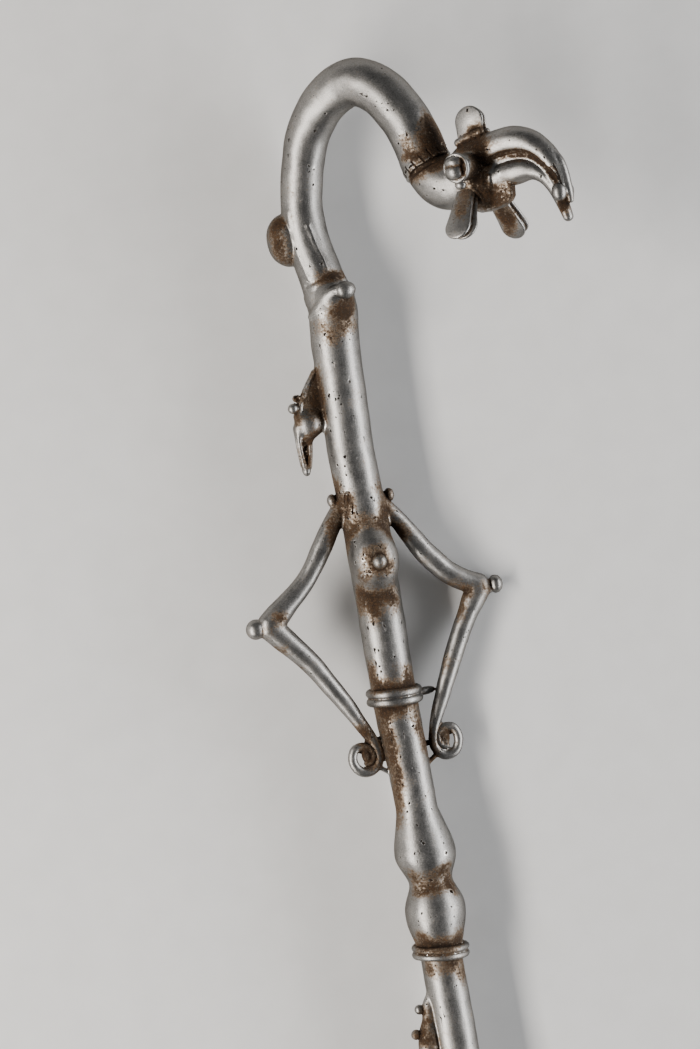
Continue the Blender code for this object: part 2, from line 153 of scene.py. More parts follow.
def smooth_rows(rows, steps):
    """Rows of numbers along a smooth curve through the given rows, steps to each span."""
    rows = np.array(rows, float)
    padded = np.vstack([rows[0] * 2 - rows[1], rows, rows[-1] * 2 - rows[-2]])
    before, start, end, after = padded[:-3], padded[1:-2], padded[2:-1], padded[3:]
    t = (np.arange(steps) / steps)[None, :, None]
    before, start, end, after = (part[:, None, :] for part in (before, start, end, after))
    bend = (2 * before - 5 * start + 4 * end - after) * t * t
    turn = (3 * start - before - 3 * end + after) * t ** 3
    smooth = start + 0.5 * ((end - before) * t + bend + turn)
    return np.vstack([smooth.reshape(-1, rows.shape[1]), rows[-1:]])


def eased(stops, blur, low=-30.0, high=crook_up + 60.0):
    """A smooth line through stops along the staff, read at any place."""
    places = np.arange(low, high, 1.0)
    values = np.interp(places, [place for place, _ in stops], [value for _, value in stops])
    reach = int(blur)
    window = 0.5 + 0.5 * np.cos(np.pi * np.arange(-reach, reach + 1) / (reach + 1))
    padded = np.pad(values, reach, mode="edge")
    values = np.convolve(padded, window / window.sum(), mode="valid")
    return lambda up: np.interp(up, places, values)


def upper_place(share):
    """A place on the shaft between the belt and the crook."""
    return belt_up + share * (crook_up - belt_up)


def bell(distance, reach):
    """One at no distance, falling smoothly to nothing at the reach."""
    return 0.5 + 0.5 * np.cos(np.pi * np.minimum(np.abs(distance) / reach, 1))


# Forms: each is a distance in millimetres, and the box of the staff that it can change

class Form:
    """A distance from a form, with the box that holds the form."""

    def __init__(self, distance, low, high):
        self.distance = distance
        self.low = np.array(low, float)
        self.high = np.array(high, float)


def box_around(points, reach):
    """The lowest and highest corners around points, with room of the reach."""
    points = np.array(points, float)
    return points.min(axis=0) - reach, points.max(axis=0) + reach


def near_line(points, rows):
    """Distance from the middle line through close rows, and the radius there."""
    gap = (points ** 2).sum(1)[:, None] - 2 * points @ rows[:, :3].T + (rows[:, :3] ** 2).sum(1)
    nearest = np.clip(gap.argmin(1), 1, len(rows) - 2)
    each = np.arange(len(points))
    before, here, after = gap[each, nearest - 1], gap[each, nearest], gap[each, nearest + 1]
    bend = np.maximum(before - 2 * here + after, 1e-9)
    shift = np.clip(0.5 * (before - after) / bend, -1, 1)
    square = here + 0.5 * (after - before) * shift + 0.5 * bend * shift ** 2
    side = np.where(shift < 0, nearest - 1, nearest + 1)
    radius = rows[nearest, 3] + (rows[side, 3] - rows[nearest, 3]) * np.abs(shift)
    return np.sqrt(np.maximum(square, 0)), radius


def tube(rows, frame, steps=6, widen=1.0):
    """A round bar through rows of place and radius in a frame, with round ends."""
    dense = smooth_rows(rows, steps)
    squash = np.array([1, 1, 1 / widen])

    def distance(points):
        result = np.empty(len(points))
        for start in range(0, len(points), 20000):
            own = into(frame, points[start:start + 20000]) * squash
            apart, radius = near_line(own, dense * np.array([1, 1, 1 / widen, 1]))
            result[start:start + 20000] = apart - radius
        return result

    reach = dense[:, 3].max() * max(widen, 1)
    return Form(distance, *box_around(out_of(frame, dense[:, :3]), reach))


def ball(place, sizes, frame):
    """An oval ball with its three half widths along a frame."""
    sizes = np.array(sizes, float)
    place = np.array(place, float)

    def distance(points):
        own = into(frame, points) - place
        first = np.sqrt(((own / sizes) ** 2).sum(1))
        second = np.sqrt(((own / sizes ** 2) ** 2).sum(1))
        return first * (first - 1) / np.maximum(second, 1e-9)

    return Form(distance, *box_around(out_of(frame, place[None, :]), sizes.max()))


def bead(place, radius, frame):
    """A round bead."""
    return ball(place, (radius, radius, radius), frame)


def hoop(place, along, radius, thick, frame=Matrix.Identity(4), tall=None):
    """A ring around a middle place, square to the direction along."""
    place = np.array(place, float)
    along = np.array(Vector(along).normalized())
    tall = tall or thick

    def distance(points):
        own = into(frame, points) - place
        height = own @ along
        outward = np.sqrt(np.maximum((own ** 2).sum(1) - height ** 2, 0)) - radius
        first = np.sqrt((outward / thick) ** 2 + (height / tall) ** 2)
        second = np.sqrt((outward / thick ** 2) ** 2 + (height / tall ** 2) ** 2)
        return first * (first - 1) / np.maximum(second, 1e-9)

    return Form(distance, *box_around(out_of(frame, place[None, :]), radius + thick + tall))


def lobe(length, width, thick, level, round_edge, frame, bulge=0.8, narrow=0.36):
    """A plate standing along Y of its frame, a little domed: narrow at its root and round at its tip."""
    tip = width / 2
    root = width * narrow
    rise = length - tip
    slope = (root - tip) / rise
    lean = math.sqrt(1 - slope * slope)

    def distance(points):
        own = into(frame, points)
        across, along = np.abs(own[:, 0]), own[:, 1]
        turn = -slope * across + lean * along
        side = lean * across + slope * along - root
        foot = np.hypot(across, along) - root
        top = np.hypot(across, along - rise) - tip
        flat = np.where(turn < 0, foot, np.where(turn > lean * rise, top, side))
        edge = flat + round_edge
        face = np.abs(own[:, 2] - level) - thick / 2 + round_edge
        face += bulge * (1 - np.clip(-flat / tip, 0, 1)) ** 2
        outside = np.hypot(np.maximum(edge, 0), np.maximum(face, 0))
        return outside + np.minimum(np.maximum(edge, face), 0) - round_edge

    ends = out_of(frame, np.array([[0, 0, level], [0, rise, level]]))
    return Form(distance, *box_around(ends, tip + thick))


def slab(corners, half_thick, round_edge, frame, level=0.0):
    """A flat plate with straight sides between corners given anticlockwise, and rounded edges."""
    corners = np.array(corners, float)
    sides = np.roll(corners, -1, axis=0) - corners
    outward = np.stack([sides[:, 1], -sides[:, 0]], 1) / np.linalg.norm(sides, axis=1)[:, None]
    reach = (outward * corners).sum(1)

    def distance(points):
        own = into(frame, points)
        edge = (own[:, :2] @ outward.T - reach).max(1) + round_edge
        face = np.abs(own[:, 2] - level) - half_thick + round_edge
        outside = np.hypot(np.maximum(edge, 0), np.maximum(face, 0))
        return outside + np.minimum(np.maximum(edge, face), 0) - round_edge

    flat = np.column_stack([corners, np.full(len(corners), level)])
    return Form(distance, *box_around(out_of(frame, flat), half_thick))


# The straight shaft

shaft_line = eased([
    (0.0, lower_radius + 0.4), (knop_up - 40, lower_radius - 0.2), (knop_up + 60, lower_radius - 0.3),
    (belt_up - 12, upper_radius - 0.6), (upper_place(0.23), upper_radius - 0.3),
    (upper_place(0.74), upper_radius), (crook_up, upper_radius + 0.5)], 12)
sway_line = eased([
    (knop_up - 75, 0.4), (knop_up - 30, -0.1), (knop_up - 6, 0.7), (knop_up + 15, 1.4), (knop_up + 36, 0.9),
    (knop_up + 73, 0.5), (belt_up - 8, -0.7), (upper_place(0.39), 0.3), (upper_place(0.64), -0.9),
    (upper_place(0.91), 1.0), (crook_up, 2.5)], 8)
lift_line = eased([(crook_up - 17, 0.0), (crook_up, 1.75)], 8)


def knops_radius(up, pair_up, base):
    """The shaft's radius at a pair of knops whose lower one is at pair_up."""
    lower_reach = np.where(up < pair_up, knop_shoulder, knop_waist)
    upper_reach = np.where(up < pair_up + knop_apart, knop_waist, knop_shoulder)
    lower = bell(up - pair_up, lower_reach)
    upper = bell(up - pair_up - knop_apart, upper_reach)
    return base + (knop_radius - base) * np.minimum(lower + upper, 1)


def shaft_radius(up):
    """The shaft's radius, knops and all, without its rings."""
    base = shaft_line(up)
    return np.maximum(knops_radius(up, knop_up, base), knops_radius(up, lower_knop_up, base))


def shaft_form():
    """The shaft from its foot to where the crook takes over."""
    def distance(points):
        up = points[:, 1]
        outward = np.hypot(points[:, 0] - sway_line(up), points[:, 2] - axis_up - lift_line(up))
        side = outward - shaft_radius(up)
        return np.maximum(np.maximum(side, -up), up - crook_up + crook_overlap)

    reach = knop_radius + 2
    return Form(distance, (-reach, 0, 0), (reach, crook_up - crook_overlap, axis_up + reach))


def foot_form():
    """The plain thickened foot, with a rounded edge."""
    def distance(points):
        aside = np.hypot(points[:, 0] - sway_line(points[:, 1]), points[:, 2] - axis_up)
        outward = aside - foot_radius + foot_edge
        along = np.abs(points[:, 1] - foot_height / 2) - foot_height / 2 + foot_edge
        outside = np.hypot(np.maximum(outward, 0), np.maximum(along, 0))
        return outside + np.minimum(np.maximum(outward, along), 0) - foot_edge

    return Form(distance, (-foot_radius, 0, 0), (foot_radius, foot_height, axis_up + foot_radius))


def threads(up, width, radius, tilt):
    """A ring of two threads laid side by side, leaning by tilt degrees."""
    thick = width / 4
    along = (math.sin(math.radians(tilt)), math.cos(math.radians(tilt)), 0)
    middle = float(sway_line(up))
    forms = []
    for side in (-1, 1):
        place = np.array([middle, up, axis_up]) + np.array(along) * side * thick * 0.98
        forms.append(hoop(place, along, radius - thick, thick))
    return forms


# The crook, in its own plane: across, up from where it starts, and radius, as shares
crook_bends = [
    (0.029, 0.000, 1.02), (0.014, 0.070, 1.00), (0.010, 0.094, 0.97), (-0.008, 0.174, 0.92),
    (-0.042, 0.332, 0.89), (-0.046, 0.461, 0.88), (-0.026, 0.569, 0.88), (0.013, 0.693, 0.89),
    (0.080, 0.830, 0.92), (0.195, 0.941, 0.95), (0.351, 0.996, 1.00), (0.493, 0.930, 1.01),
    (0.595, 0.799, 1.01), (0.640, 0.693, 1.01), (0.662, 0.626, 1.01), (0.670, 0.579, 1.00),
    (0.681, 0.550, 0.96), (0.700, 0.520, 0.99), (0.742, 0.477, 1.06), (0.806, 0.455, 1.07),
    (0.890, 0.462, 1.04),
]


def crook_rows():
    """The crook's rows in its plane, in millimetres, led in by the end of the shaft."""
    rows = []
    for up in np.arange(crook_up - 40, crook_up - 6, 6.0):
        place = [float(sway_line(up)), up, axis_up + float(lift_line(up))]
        rows.append((*into(crook_frame, np.array([place]))[0], float(shaft_line(up))))
    for across, up, thick in crook_bends:
        rows.append((across * crook_height, crook_up + up * crook_height, 0, thick * crook_radius))
    return rows


# The arms' middle lines in their plane: out from the shaft, up from the elbows, and radius
left_upper_arm = [
    (7.5, 54.0, 4.5), (12.5, 48.5, 4.6), (17.1, 42.8, 4.7), (24.3, 32.2, 4.9), (31.9, 21.6, 4.7),
    (38.3, 15.0, 4.9), (44.3, 10.2, 5.3), (50.0, 5.5, 6.1), (54.8, 1.3, 6.4),
]
left_forearm = [
    (55.5, -0.9, 6.1), (50.4, -6.8, 6.1), (46.2, -11.8, 5.7), (38.6, -21.5, 5.1), (32.1, -32.3, 4.6),
    (25.6, -43.5, 4.3), (19.9, -54.8, 3.6), (17.0, -60.5, 3.1), (14.6, -66.0, 2.7),
]
right_upper_arm = [
    (7.5, 51.5, 4.3), (12.5, 45.2, 4.3), (16.8, 39.3, 4.5), (20.8, 32.5, 5.0), (27.3, 21.3, 5.6),
    (35.5, 11.4, 5.4), (42.3, 5.9, 5.4), (47.0, 3.1, 5.5), (50.6, 1.2, 5.7),
]
right_forearm = [
    (50.3, -1.2, 6.0), (46.3, -6.8, 5.8), (42.3, -12.8, 4.9), (34.2, -26.8, 4.7), (26.7, -42.0, 4.2),
    (23.1, -49.6, 3.7), (19.3, -57.4, 3.0), (16.3, -64.5, 2.5),
]
wrist_radius = 2.4
coil_turns = 1.25
coil_tightening = 0.62
left_coil = (20.0, 72.4, 6.6, 7.0)
right_coil = (21.2, 71.1, 6.4, 7.6)


def arm_rows(side, rows):
    """Rows of an arm as places in the arms' plane."""
    return [(side * out, elbow_up + up, 0, radius) for out, up, radius in rows]


def coil_rows(coil):
    """The wrist wound outwards into a flat coil, as rows of an arm."""
    out, drop, half_width, half_height = coil
    rows = []
    for share in np.linspace(0, 1, 17):
        turn = math.pi * (1 + 2 * coil_turns * share)
        inner = max(0.0, 2 * share - 1)
        size = 1 - coil_tightening * inner ** 0.8
        across = out + math.cos(turn) * half_width * size
        up = -drop + math.sin(turn) * half_height * size
        rows.append((across, up, wrist_radius * (1 - 0.12 * share - 0.3 * inner)))
    return rows


def hand_waves(count=12, shortest=7.0, longest=34.0, height=0.0022):
    """Low uneven waves, as hands leave them in wax, each as high as a small share of its length."""
    draw = np.random.default_rng(7)
    facing = draw.normal(size=(count, 3))
    facing /= np.linalg.norm(facing, axis=1)[:, None]
    lengths = np.geomspace(shortest, longest, count)
    turns = facing * (2 * np.pi / lengths)[:, None]
    starts = draw.uniform(0, 2 * np.pi, count)
    return lambda points: (np.sin(points @ turns.T + starts) * lengths * height).sum(1)


class Casting:
    """All the forms of the staff, added or carved in turn, and the field they make."""

    def __init__(self):
        self.steps = []
        self.waves = hand_waves()
        self.cuts = []          # narrow carved forms, coloured near black inside as painted shade
        self.soils_and_shade = []         # forms that earth clings to, and a few patches of painted shade in shadowed hollows, with how much and how softly
        self.fine = []          # places worked finely: middle, reach and the longest edge

    def add(self, form, fillet=0.8):
        self.steps.append((form, fillet, False))

    def carve(self, form, fillet=0.3):
        self.steps.append((form, fillet, True))

    def field(self, points):
        """How far each point is outside the casting."""
        order = np.argsort(points[:, 1])
        sorted_points = points[order]
        ups = sorted_points[:, 1]
        value = np.full(len(points), 9.0)
        for form, fillet, carved in self.steps:
            room = fillet + 3.5
            first, last = np.searchsorted(ups, (form.low[1] - room, form.high[1] + room))
            part = sorted_points[first:last]
            inside = (part[:, 0] > form.low[0] - room) & (part[:, 0] < form.high[0] + room)
            inside &= (part[:, 2] > form.low[2] - room) & (part[:, 2] < form.high[2] + room)
            if not inside.any():
                continue
            found = np.nonzero(inside)[0] + first
            distance = form.distance(sorted_points[found])
            old = value[found]
            if carved:
                old = -old
            blend = np.maximum(fillet - np.abs(old - distance), 0)
            joined = np.minimum(old, distance)
            if fillet > 0:
                joined = joined - blend ** 2 / (4 * fillet)
            value[found] = -joined if carved else joined
        value = np.maximum(value + self.waves(sorted_points), -sorted_points[:, 2])
        result = np.empty(len(points))
        result[order] = value
        return result


staff = Casting()
above = Matrix.Identity(4)
pit_draw = np.random.default_rng(11)


# Fine work, laid on the casting as it stands when it is laid

def camera_axes():
    """The ways right, up and back of the camera."""
    tilt = math.radians(camera_tilt)
    roll = math.radians(camera_roll)
    flat_up = Vector((0, math.cos(tilt), -math.sin(tilt)))
    back = Vector((0, math.sin(tilt), math.cos(tilt)))
    side = Vector((1, 0, 0))
    right = math.cos(roll) * side - math.sin(roll) * flat_up
    top = math.sin(roll) * side + math.cos(roll) * flat_up
    return right, top, back


def seen_at(rows, rounds=90):
    """Places on the casting of marks whose first two values are photo pixels, across and down."""
    rows = np.array([row[:2] for row in rows], float)
    right, top, back = (np.array(way) for way in camera_axes())
    ways = np.outer(rows[:, 0] - photo_width / 2, right) + np.outer(photo_height / 2 - rows[:, 1], top)
    ways = ways / focal_pixels - back
    ways /= np.linalg.norm(ways, axis=1)[:, None]
    places = np.array(camera_place) + ways * ((clear_up - camera_place[2]) / ways[:, 2])[:, None]
    for _ in range(rounds):
        places += ways * np.clip(staff.field(places), -1.0, 2.5)[:, None]
    return places


def laid(rows, frame=above, side=1, rounds=78):
    """Rows of across, up, radius and lift, set down along a frame's Z, as place and radius."""
    rows = smooth_rows(rows, 3) if len(rows) > 2 else np.array(rows, float)
    places = np.column_stack([rows[:, :2], np.full(len(rows), side * clear_up)])
    for _ in range(rounds):
        value = staff.field(out_of(frame, places))
        places[:, 2] -= side * np.clip(value, -1.0, 2.5)
    places[:, 2] += side * rows[:, 3]
    return np.column_stack([places, rows[:, 2]])


def ridge(rows, frame=above, fillet=0.6, side=1):
    """A low raised line."""
    staff.add(tube(laid(rows, frame, side), frame), fillet)


def groove(rows, frame=above, fillet=0.3, side=1, edge=0.4):
    """A narrow dark groove."""
    places = laid(rows, frame, side)
    form = tube(places, frame)
    staff.carve(form, fillet)
    staff.cuts.append(form)
    for place in out_of(frame, places[::2, :3]):
        staff.fine.append((place, 1.8, edge))


def pit(place, radius, long=1.3):
    """A small deep ragged hole left in the casting."""
    for _ in range(3):
        shift = pit_draw.uniform(-0.75, 0.75, 3) * radius * (1, long, 0.2)
        sizes = pit_draw.uniform(0.45, 0.85, 3) * radius
        form = ball(place + shift, sizes, above)
        staff.carve(form, 0.1)
        staff.cuts.append(form)
    staff.fine.append((place, radius + 0.9, 0.3))


def soil_and_shade(form, amount, soft=2.0):
    """Earth on and near a form; a few such patches are painted shade in shadowed hollows."""
    staff.soils_and_shade.append((form, amount, soft))


def soil_and_shade_ball(place, sizes, amount, frame=above, soft=2.0):
    soil_and_shade(ball(place, sizes, frame), amount, soft)


def add_arm(side, upper, lower, coil, bead_reach, bead_sizes, shoulder_up):
    """An arm: shoulder to elbow, elbow to wrist, its coil and its three beads."""
    staff.add(tube(arm_rows(side, upper), arm_frame), 2.2)
    staff.add(tube(arm_rows(side, lower + coil_rows(coil)), arm_frame), 0.9)
    elbow = side * (upper[-1][0] - 1.5)
    staff.add(bead((elbow, elbow_up, 0), 0.96 * lower[0][2], arm_frame), 0.8)
    out, drop, half_width, half_height = coil
    curl = (side * (out - 0.3), elbow_up - drop + 0.25 * half_height, 0)
    staff.add(ball(curl, (2.3, half_height * 0.58, 2.1), arm_frame), 0.5)
    link = [(out - half_width * 0.8, -drop - half_height * 0.75, 1.2),
            (float(shaft_radius(elbow_up - drop)) - 1.5, -drop - half_height * 1.35, 1.2)]
    staff.add(tube(arm_rows(side, link), arm_frame), 0.8)
    neck = bead_reach - bead_sizes[0] - 0.2
    staff.add(bead((side * neck, elbow_up - 2.0, 0), 2.3, arm_frame), 0.5)
    staff.add(ball((side * bead_reach, elbow_up, 0), bead_sizes, arm_frame), 0.3)
    staff.add(ball((side * 14.2, elbow_up + shoulder_up, 0), (2.55, 3.3, 3.0), arm_frame), 0.3)


# The fold on the boss below the crook: across, up from where the crook starts, out, and radius
boss_fold_left = [
    (-10.2, -2.6, 1.5, 1.6), (-8.4, 0.8, 7.4, 2.1), (-5.6, 4.8, 11.8, 2.5), (-2.4, 7.2, 16.0, 2.9),
    (1.2, 7.5, 18.0, 3.2),
]
boss_fold_right = [
    (10.6, -0.4, 3.0, 1.4), (8.4, 3.6, 9.6, 1.9), (5.6, 6.6, 14.4, 2.4), (2.6, 7.5, 18.0, 3.0),
]


def add_boss():
    """The boss below the crook: a snout with a folded lip, a bead on its end and a groove above."""
    frame = turned(25.0)
    lean = Matrix.Translation((0.8, crook_up + 5.0, 8.9)) @ Matrix.Rotation(math.radians(-24), 4, "X")
    staff.add(ball((0, 0, 0), (9.7, 9.8, 8.6), frame @ lean), 1.2)
    for fold in (boss_fold_left, boss_fold_right):
        rows = [(across, crook_up + up, out, radius) for across, up, out, radius in fold]
        staff.add(tube(rows, frame), 1.2)
    staff.add(ball((2.2, crook_up + 7.5, 19.4), (4.9, 4.2, 4.2), frame), 0.5)
    arc = [(-9.7, 12.6, 0.8, 0.6), (-4.0, 14.8, 1.0, 0.7), (2.8, 16.0, 1.3, 0.8), (10.1, 12.0, 1.2, 0.7)]
    rows = [(across, crook_up + up, radius, lift) for across, up, radius, lift in arc]
    front = turned(navel_turn)
    staff.carve(tube(laid(rows, front), front), 1.2)
    soil_and_shade_ball((3.6, crook_up - 1.0, 14.2), (5.0, 4.0, 4.0), 0.85, frame, 4.5)
    soil_and_shade_ball((1.0, crook_up - 7.0, 12.0), (1.5, 6.0, 3.0), 0.6, frame, 4.0)
    soil_and_shade_ball((5.2, crook_up + 15.2, 9.0), (5.0, 1.2, 3.0), 0.85, frame, 3.0)


def add_bosses():
    """The navel, the boss below the crook, the knob behind it and the belt's small spike."""
    frame = turned(navel_turn)
    staff.add(ball((0, navel_up, 8.2), (11.9, 14.8, 11.8), frame), 4.5)
    staff.add(bead((0, navel_up - 0.6, 20.6), 3.8, frame), 0.3)
    add_boss()
    staff.add(ball((0, back_knob_up, 14.0), (10.5, 13.2, 10.5), turned(-110.0)), 0.9)
    staff.add(ball((0, belt_up - 1.0, 16.4), (1.7, 1.9, 5.2), turned(112.0)), 0.5)


# The small bird on the left side and the beast below the knops, in the arms' plane
bird_eyes = [(0.152, 0.192, 0.055, 0.045), (0.085, 0.285, 0.036, -0.07)]
beast_back = [(-0.114, 0.66, 0.041), (-0.07, 0.50, 0.082), (-0.055, 0.35, 0.089), (-0.02, 0.205, 0.114),
              (0.002, 0.045, 0.127), (-0.002, -0.16, 0.123), (-0.04, -0.41, 0.105), (-0.098, -0.64, 0.068),
              (-0.136, -0.795, 0.041)]
beast_beads = [(0.045, 0.49), (0.132, 0.22)]


def side_rows(rows, up, reach, size):
    """Rows on the staff's left side, given as shares of the creature's size."""
    return [(-reach - out * size, up + along * size, 0, thick * size) for out, along, thick in rows]


def on_bird(across, up):
    """A place on the bird, from shares of its size outwards and up from its middle."""
    return (-bird_reach - across * bird_size, bird_up + up * bird_size)


def add_bird():
    """The bird: a flat neck with raised edges, a domed body, a grooved bill with a bead, and its eyes."""
    neck = [on_bird(*place) for place in
            ((-0.17, 0.585), (-0.125, 0.52), (0.045, 0.28), (0.135, 0.115), (0.11, 0.0), (-0.16, -0.01),
             (-0.2, 0.27))]
    staff.add(slab(neck, 2.5, 0.9, arm_frame), 1.6)
    bill = [on_bird(*place) for place in
            ((0.155, 0.0), (0.156, -0.385), (0.145, -0.455), (0.092, -0.465), (0.065, -0.42), (0.055, -0.28),
             (0.0, -0.18), (-0.095, -0.145), (-0.095, 0.0))]
    staff.add(slab(bill, 1.9, 0.9, arm_frame), 1.2)
    edges = [([(-0.135, 0.53, 1.0), (0.035, 0.275, 1.2), (0.12, 0.11, 1.2)], 0.5),
             ([(0.14, -0.02, 1.3), (0.148, -0.2, 1.1), (0.138, -0.4, 1.0)], 0.4),
             ([(0.03, -0.1, 1.4), (0.05, -0.26, 1.1), (0.085, -0.42, 0.9)], 0.4)]
    for level in (-2.0, 2.0):
        for edge, fillet in edges:
            rows = [(*on_bird(across, up), level, radius) for across, up, radius in edge]
            staff.add(tube(rows, arm_frame), fillet)
    body = bird_size * 0.148
    staff.add(ball((*on_bird(0.01, 0.005), 0), (body * 0.98, body, body * 0.95), arm_frame), 3.4)
    staff.add(ball((*on_bird(0.12, -0.445), 0.4), (1.9, 2.9, 2.3), arm_frame), 0.9)
    staff.fine.append((out_of(arm_frame, np.array([[*on_bird(0.08, -0.25), 0]]))[0], 13.0, 0.6))
    for out, along, size, rise in bird_eyes:
        place = (*on_bird(out, along), rise * bird_size)
        staff.add(bead(place, size * bird_size, arm_frame), 0.25)
    staff.add(hoop((*on_bird(0.088, 0.275), 0.3), (0.2, 0.3, 1), 1.9, 0.75, arm_frame), 0.2)
    patches = [(-0.13, 0.22, (0.8, 9.0, 2.0), 0.7, 2.5), (0.0, 0.24, (1.0, 4.0, 2.0), 0.25, 3.0),
               (0.0, -0.16, (3.5, 1.0, 2.0), 0.7, 2.5), (0.10, -0.3, (0.4, 5.0, 1.5), 0.55, 1.6)]
    for level in (-2.5, 2.5):
        for across, up, sizes, amount, soft in patches:
            soil_and_shade_ball((*on_bird(across, up), level), sizes, amount, arm_frame, soft)


def add_creatures():
    """The bird, and the low beast with its two beads."""
    add_bird()
    staff.add(tube(side_rows(beast_back, beast_up, beast_reach, beast_size), arm_frame), 1.2)
    for out, along in beast_beads:
        place = (-beast_reach - out * beast_size, beast_up + along * beast_size, 0)
        staff.add(bead(place, 0.056 * beast_size, arm_frame), 0.3)


# The head in the crook's plane: forwards and up from the crook's end, and radius, as shares
upper_beak = [
    (0.08, 0.20, 0.160), (0.28, 0.250, 0.146), (0.50, 0.270, 0.134), (0.68, 0.215, 0.126),
    (0.80, 0.115, 0.112), (0.885, -0.015, 0.100), (0.93, -0.155, 0.084), (0.945, -0.290, 0.066),
    (0.925, -0.380, 0.044),
]
beak_lip = [
    (0.20, 0.195, 0.080), (0.34, 0.222, 0.088), (0.50, 0.228, 0.086), (0.65, 0.205, 0.080),
    (0.765, 0.140, 0.072), (0.87, 0.035, 0.064), (0.935, -0.080, 0.052),
]
lower_beak = [
    (0.04, -0.06, 0.140), (0.32, -0.033, 0.124), (0.475, -0.022, 0.127), (0.60, -0.019, 0.113),
    (0.695, -0.048, 0.093), (0.785, -0.118, 0.077), (0.850, -0.213, 0.067), (0.895, -0.330, 0.060),
    (0.930, -0.440, 0.056), (0.950, -0.520, 0.050),
]
beak_strip = [
    (0.905, 0.070, 0.050), (0.958, -0.010, 0.048), (0.985, -0.120, 0.046), (0.997, -0.230, 0.044),
    (1.006, -0.330, 0.040), (1.008, -0.375, 0.032),
]
# The hollow between the two beaks: forwards, up, then aside and radius in millimetres
beak_hollow = [
    (0.22, 0.100, 8.6, 0.8), (0.32, 0.116, 7.1, 2.4), (0.44, 0.126, 6.8, 2.9), (0.56, 0.120, 6.6, 3.0),
    (0.66, 0.100, 6.3, 2.8), (0.74, 0.058, 6.0, 2.5), (0.80, 0.000, 5.6, 2.2), (0.86, -0.066, 5.2, 1.9),
    (0.905, -0.127, 4.9, 1.6), (0.935, -0.177, 4.8, 1.1),
]
beak_web = [
    (0.10, 0.06, 0.120), (0.34, 0.105, 0.070), (0.52, 0.118, 0.064), (0.68, 0.080, 0.062),
    (0.79, -0.012, 0.060), (0.86, -0.125, 0.056), (0.893, -0.250, 0.052), (0.900, -0.350, 0.044),
]


def head_place(forward, up, aside=0.0):
    """A place in the crook's frame, from shares of the head's size past the crook's end."""
    end_across, end_up, _ = crook_bends[-1]
    middle_x = end_across * crook_height + head_shift[0]
    middle_y = crook_up + end_up * crook_height + head_shift[1]
    return (middle_x + forward * head_size, middle_y + up * head_size, aside)


def head_rows(rows):
    """Rows of the head as places in the crook's frame."""
    return [(*head_place(forward, up), thick * head_size) for forward, up, thick in rows]


def add_eye(side):
    """An eye on a stalk, with a rolled rim and a domed ball."""
    x, y, _ = head_place(0.085, 0.105)
    rows = [(x, y, side * step, eye_radius * 0.96) for step in (0.0, 8.0, eye_reach - 6)]
    staff.add(tube(rows, crook_frame), 1.5)
    rim = hoop((x, y, side * (eye_reach - 2.4)), (0, 0, 1), eye_radius * 0.97, 0.9, crook_frame, 1.4)
    staff.add(rim, 1.0)
    staff.carve(ball((x + 0.6, y, side * (eye_reach + 0.2)), (5.7, 5.9, 3.0), crook_frame), 0.3)
    staff.add(ball((x - 1.1, y - 1.6, side * (eye_reach - 3.2)), (5.2, 4.4, 5.2), crook_frame), 0.08)
    staff.add(ball((x - 0.8, y + 2.6, side * (eye_reach - 3.4)), (5.5, 3.5, 4.9), crook_frame), 0.08)
    staff.add(ball((x + 0.4, y - 8.3, side * (eye_reach - 2.8)), (2.8, 2.2, 2.3), crook_frame), 0.4)
    staff.fine.append((out_of(crook_frame, np.array([[x, y, side * (eye_reach - 1)]]))[0], 8.5, 0.55))
    soil_and_shade_ball((x + 4.2, y, side * (eye_reach - 1.6)), (0.9, 3.8, 1.5), 0.9, crook_frame, 1.2)
    soil_and_shade_ball((x - 0.6, y + 0.8, side * (eye_reach + 0.8)), (3.2, 0.3, 1.5), 0.5, crook_frame, 1.2)
    # Dark brown on the stalk's shadowed side, in the hollow towards the beak: painted shade, with some earth.
    soil_and_shade_ball((x + 5.0, y - 2.0, side * 11.0), (4.0, 6.5, 5.0), 0.95, crook_frame, 3.0)


def plates(frame, length, width, rear_turn=0.0, narrow=0.36):
    """A lobe of two plates with a groove between their edges, the rear one turned a little."""
    staff.add(lobe(length, width, 3.1, -1.3, 0.7, frame, 0.8, narrow), 0.3)
    rear = frame @ Matrix.Rotation(math.radians(rear_turn), 4, "Z")
    staff.add(lobe(length * 0.97, width, 3.1, 1.3, 0.7, rear, 0.8, narrow), 0.3)
    staff.fine.append((out_of(frame, np.array([[0, length * 0.55, 0]]))[0], length * 0.62, 0.62))


def add_ear(side):
    """A flat ear, hanging down from the cheek and spread outwards."""
    spread = Matrix.Rotation(math.radians(180 - side * 33), 4, "X")
    if side > 0:
        turn, rear_turn, length, width = -4, -6, ear_length + 1.4, ear_width
        forward, soil_along, soil_amount = 0.025, 9.0, 0.45
    else:
        turn, rear_turn, length, width = 2, -3, ear_length * 1.19, ear_width * 0.92
        forward, soil_along, soil_amount = 0.06, 14.0, 0.95
    root = crook_frame @ Matrix.Translation(head_place(forward, -0.10, side * 8.6))
    frame = root @ Matrix.Rotation(math.radians(turn), 4, "Z") @ spread
    plates(frame, length, width, rear_turn, 0.30)
    soil_and_shade_ball((0, soil_along, -1.5), (1.5, 6.0, 3.0), soil_amount, frame, 5.0)


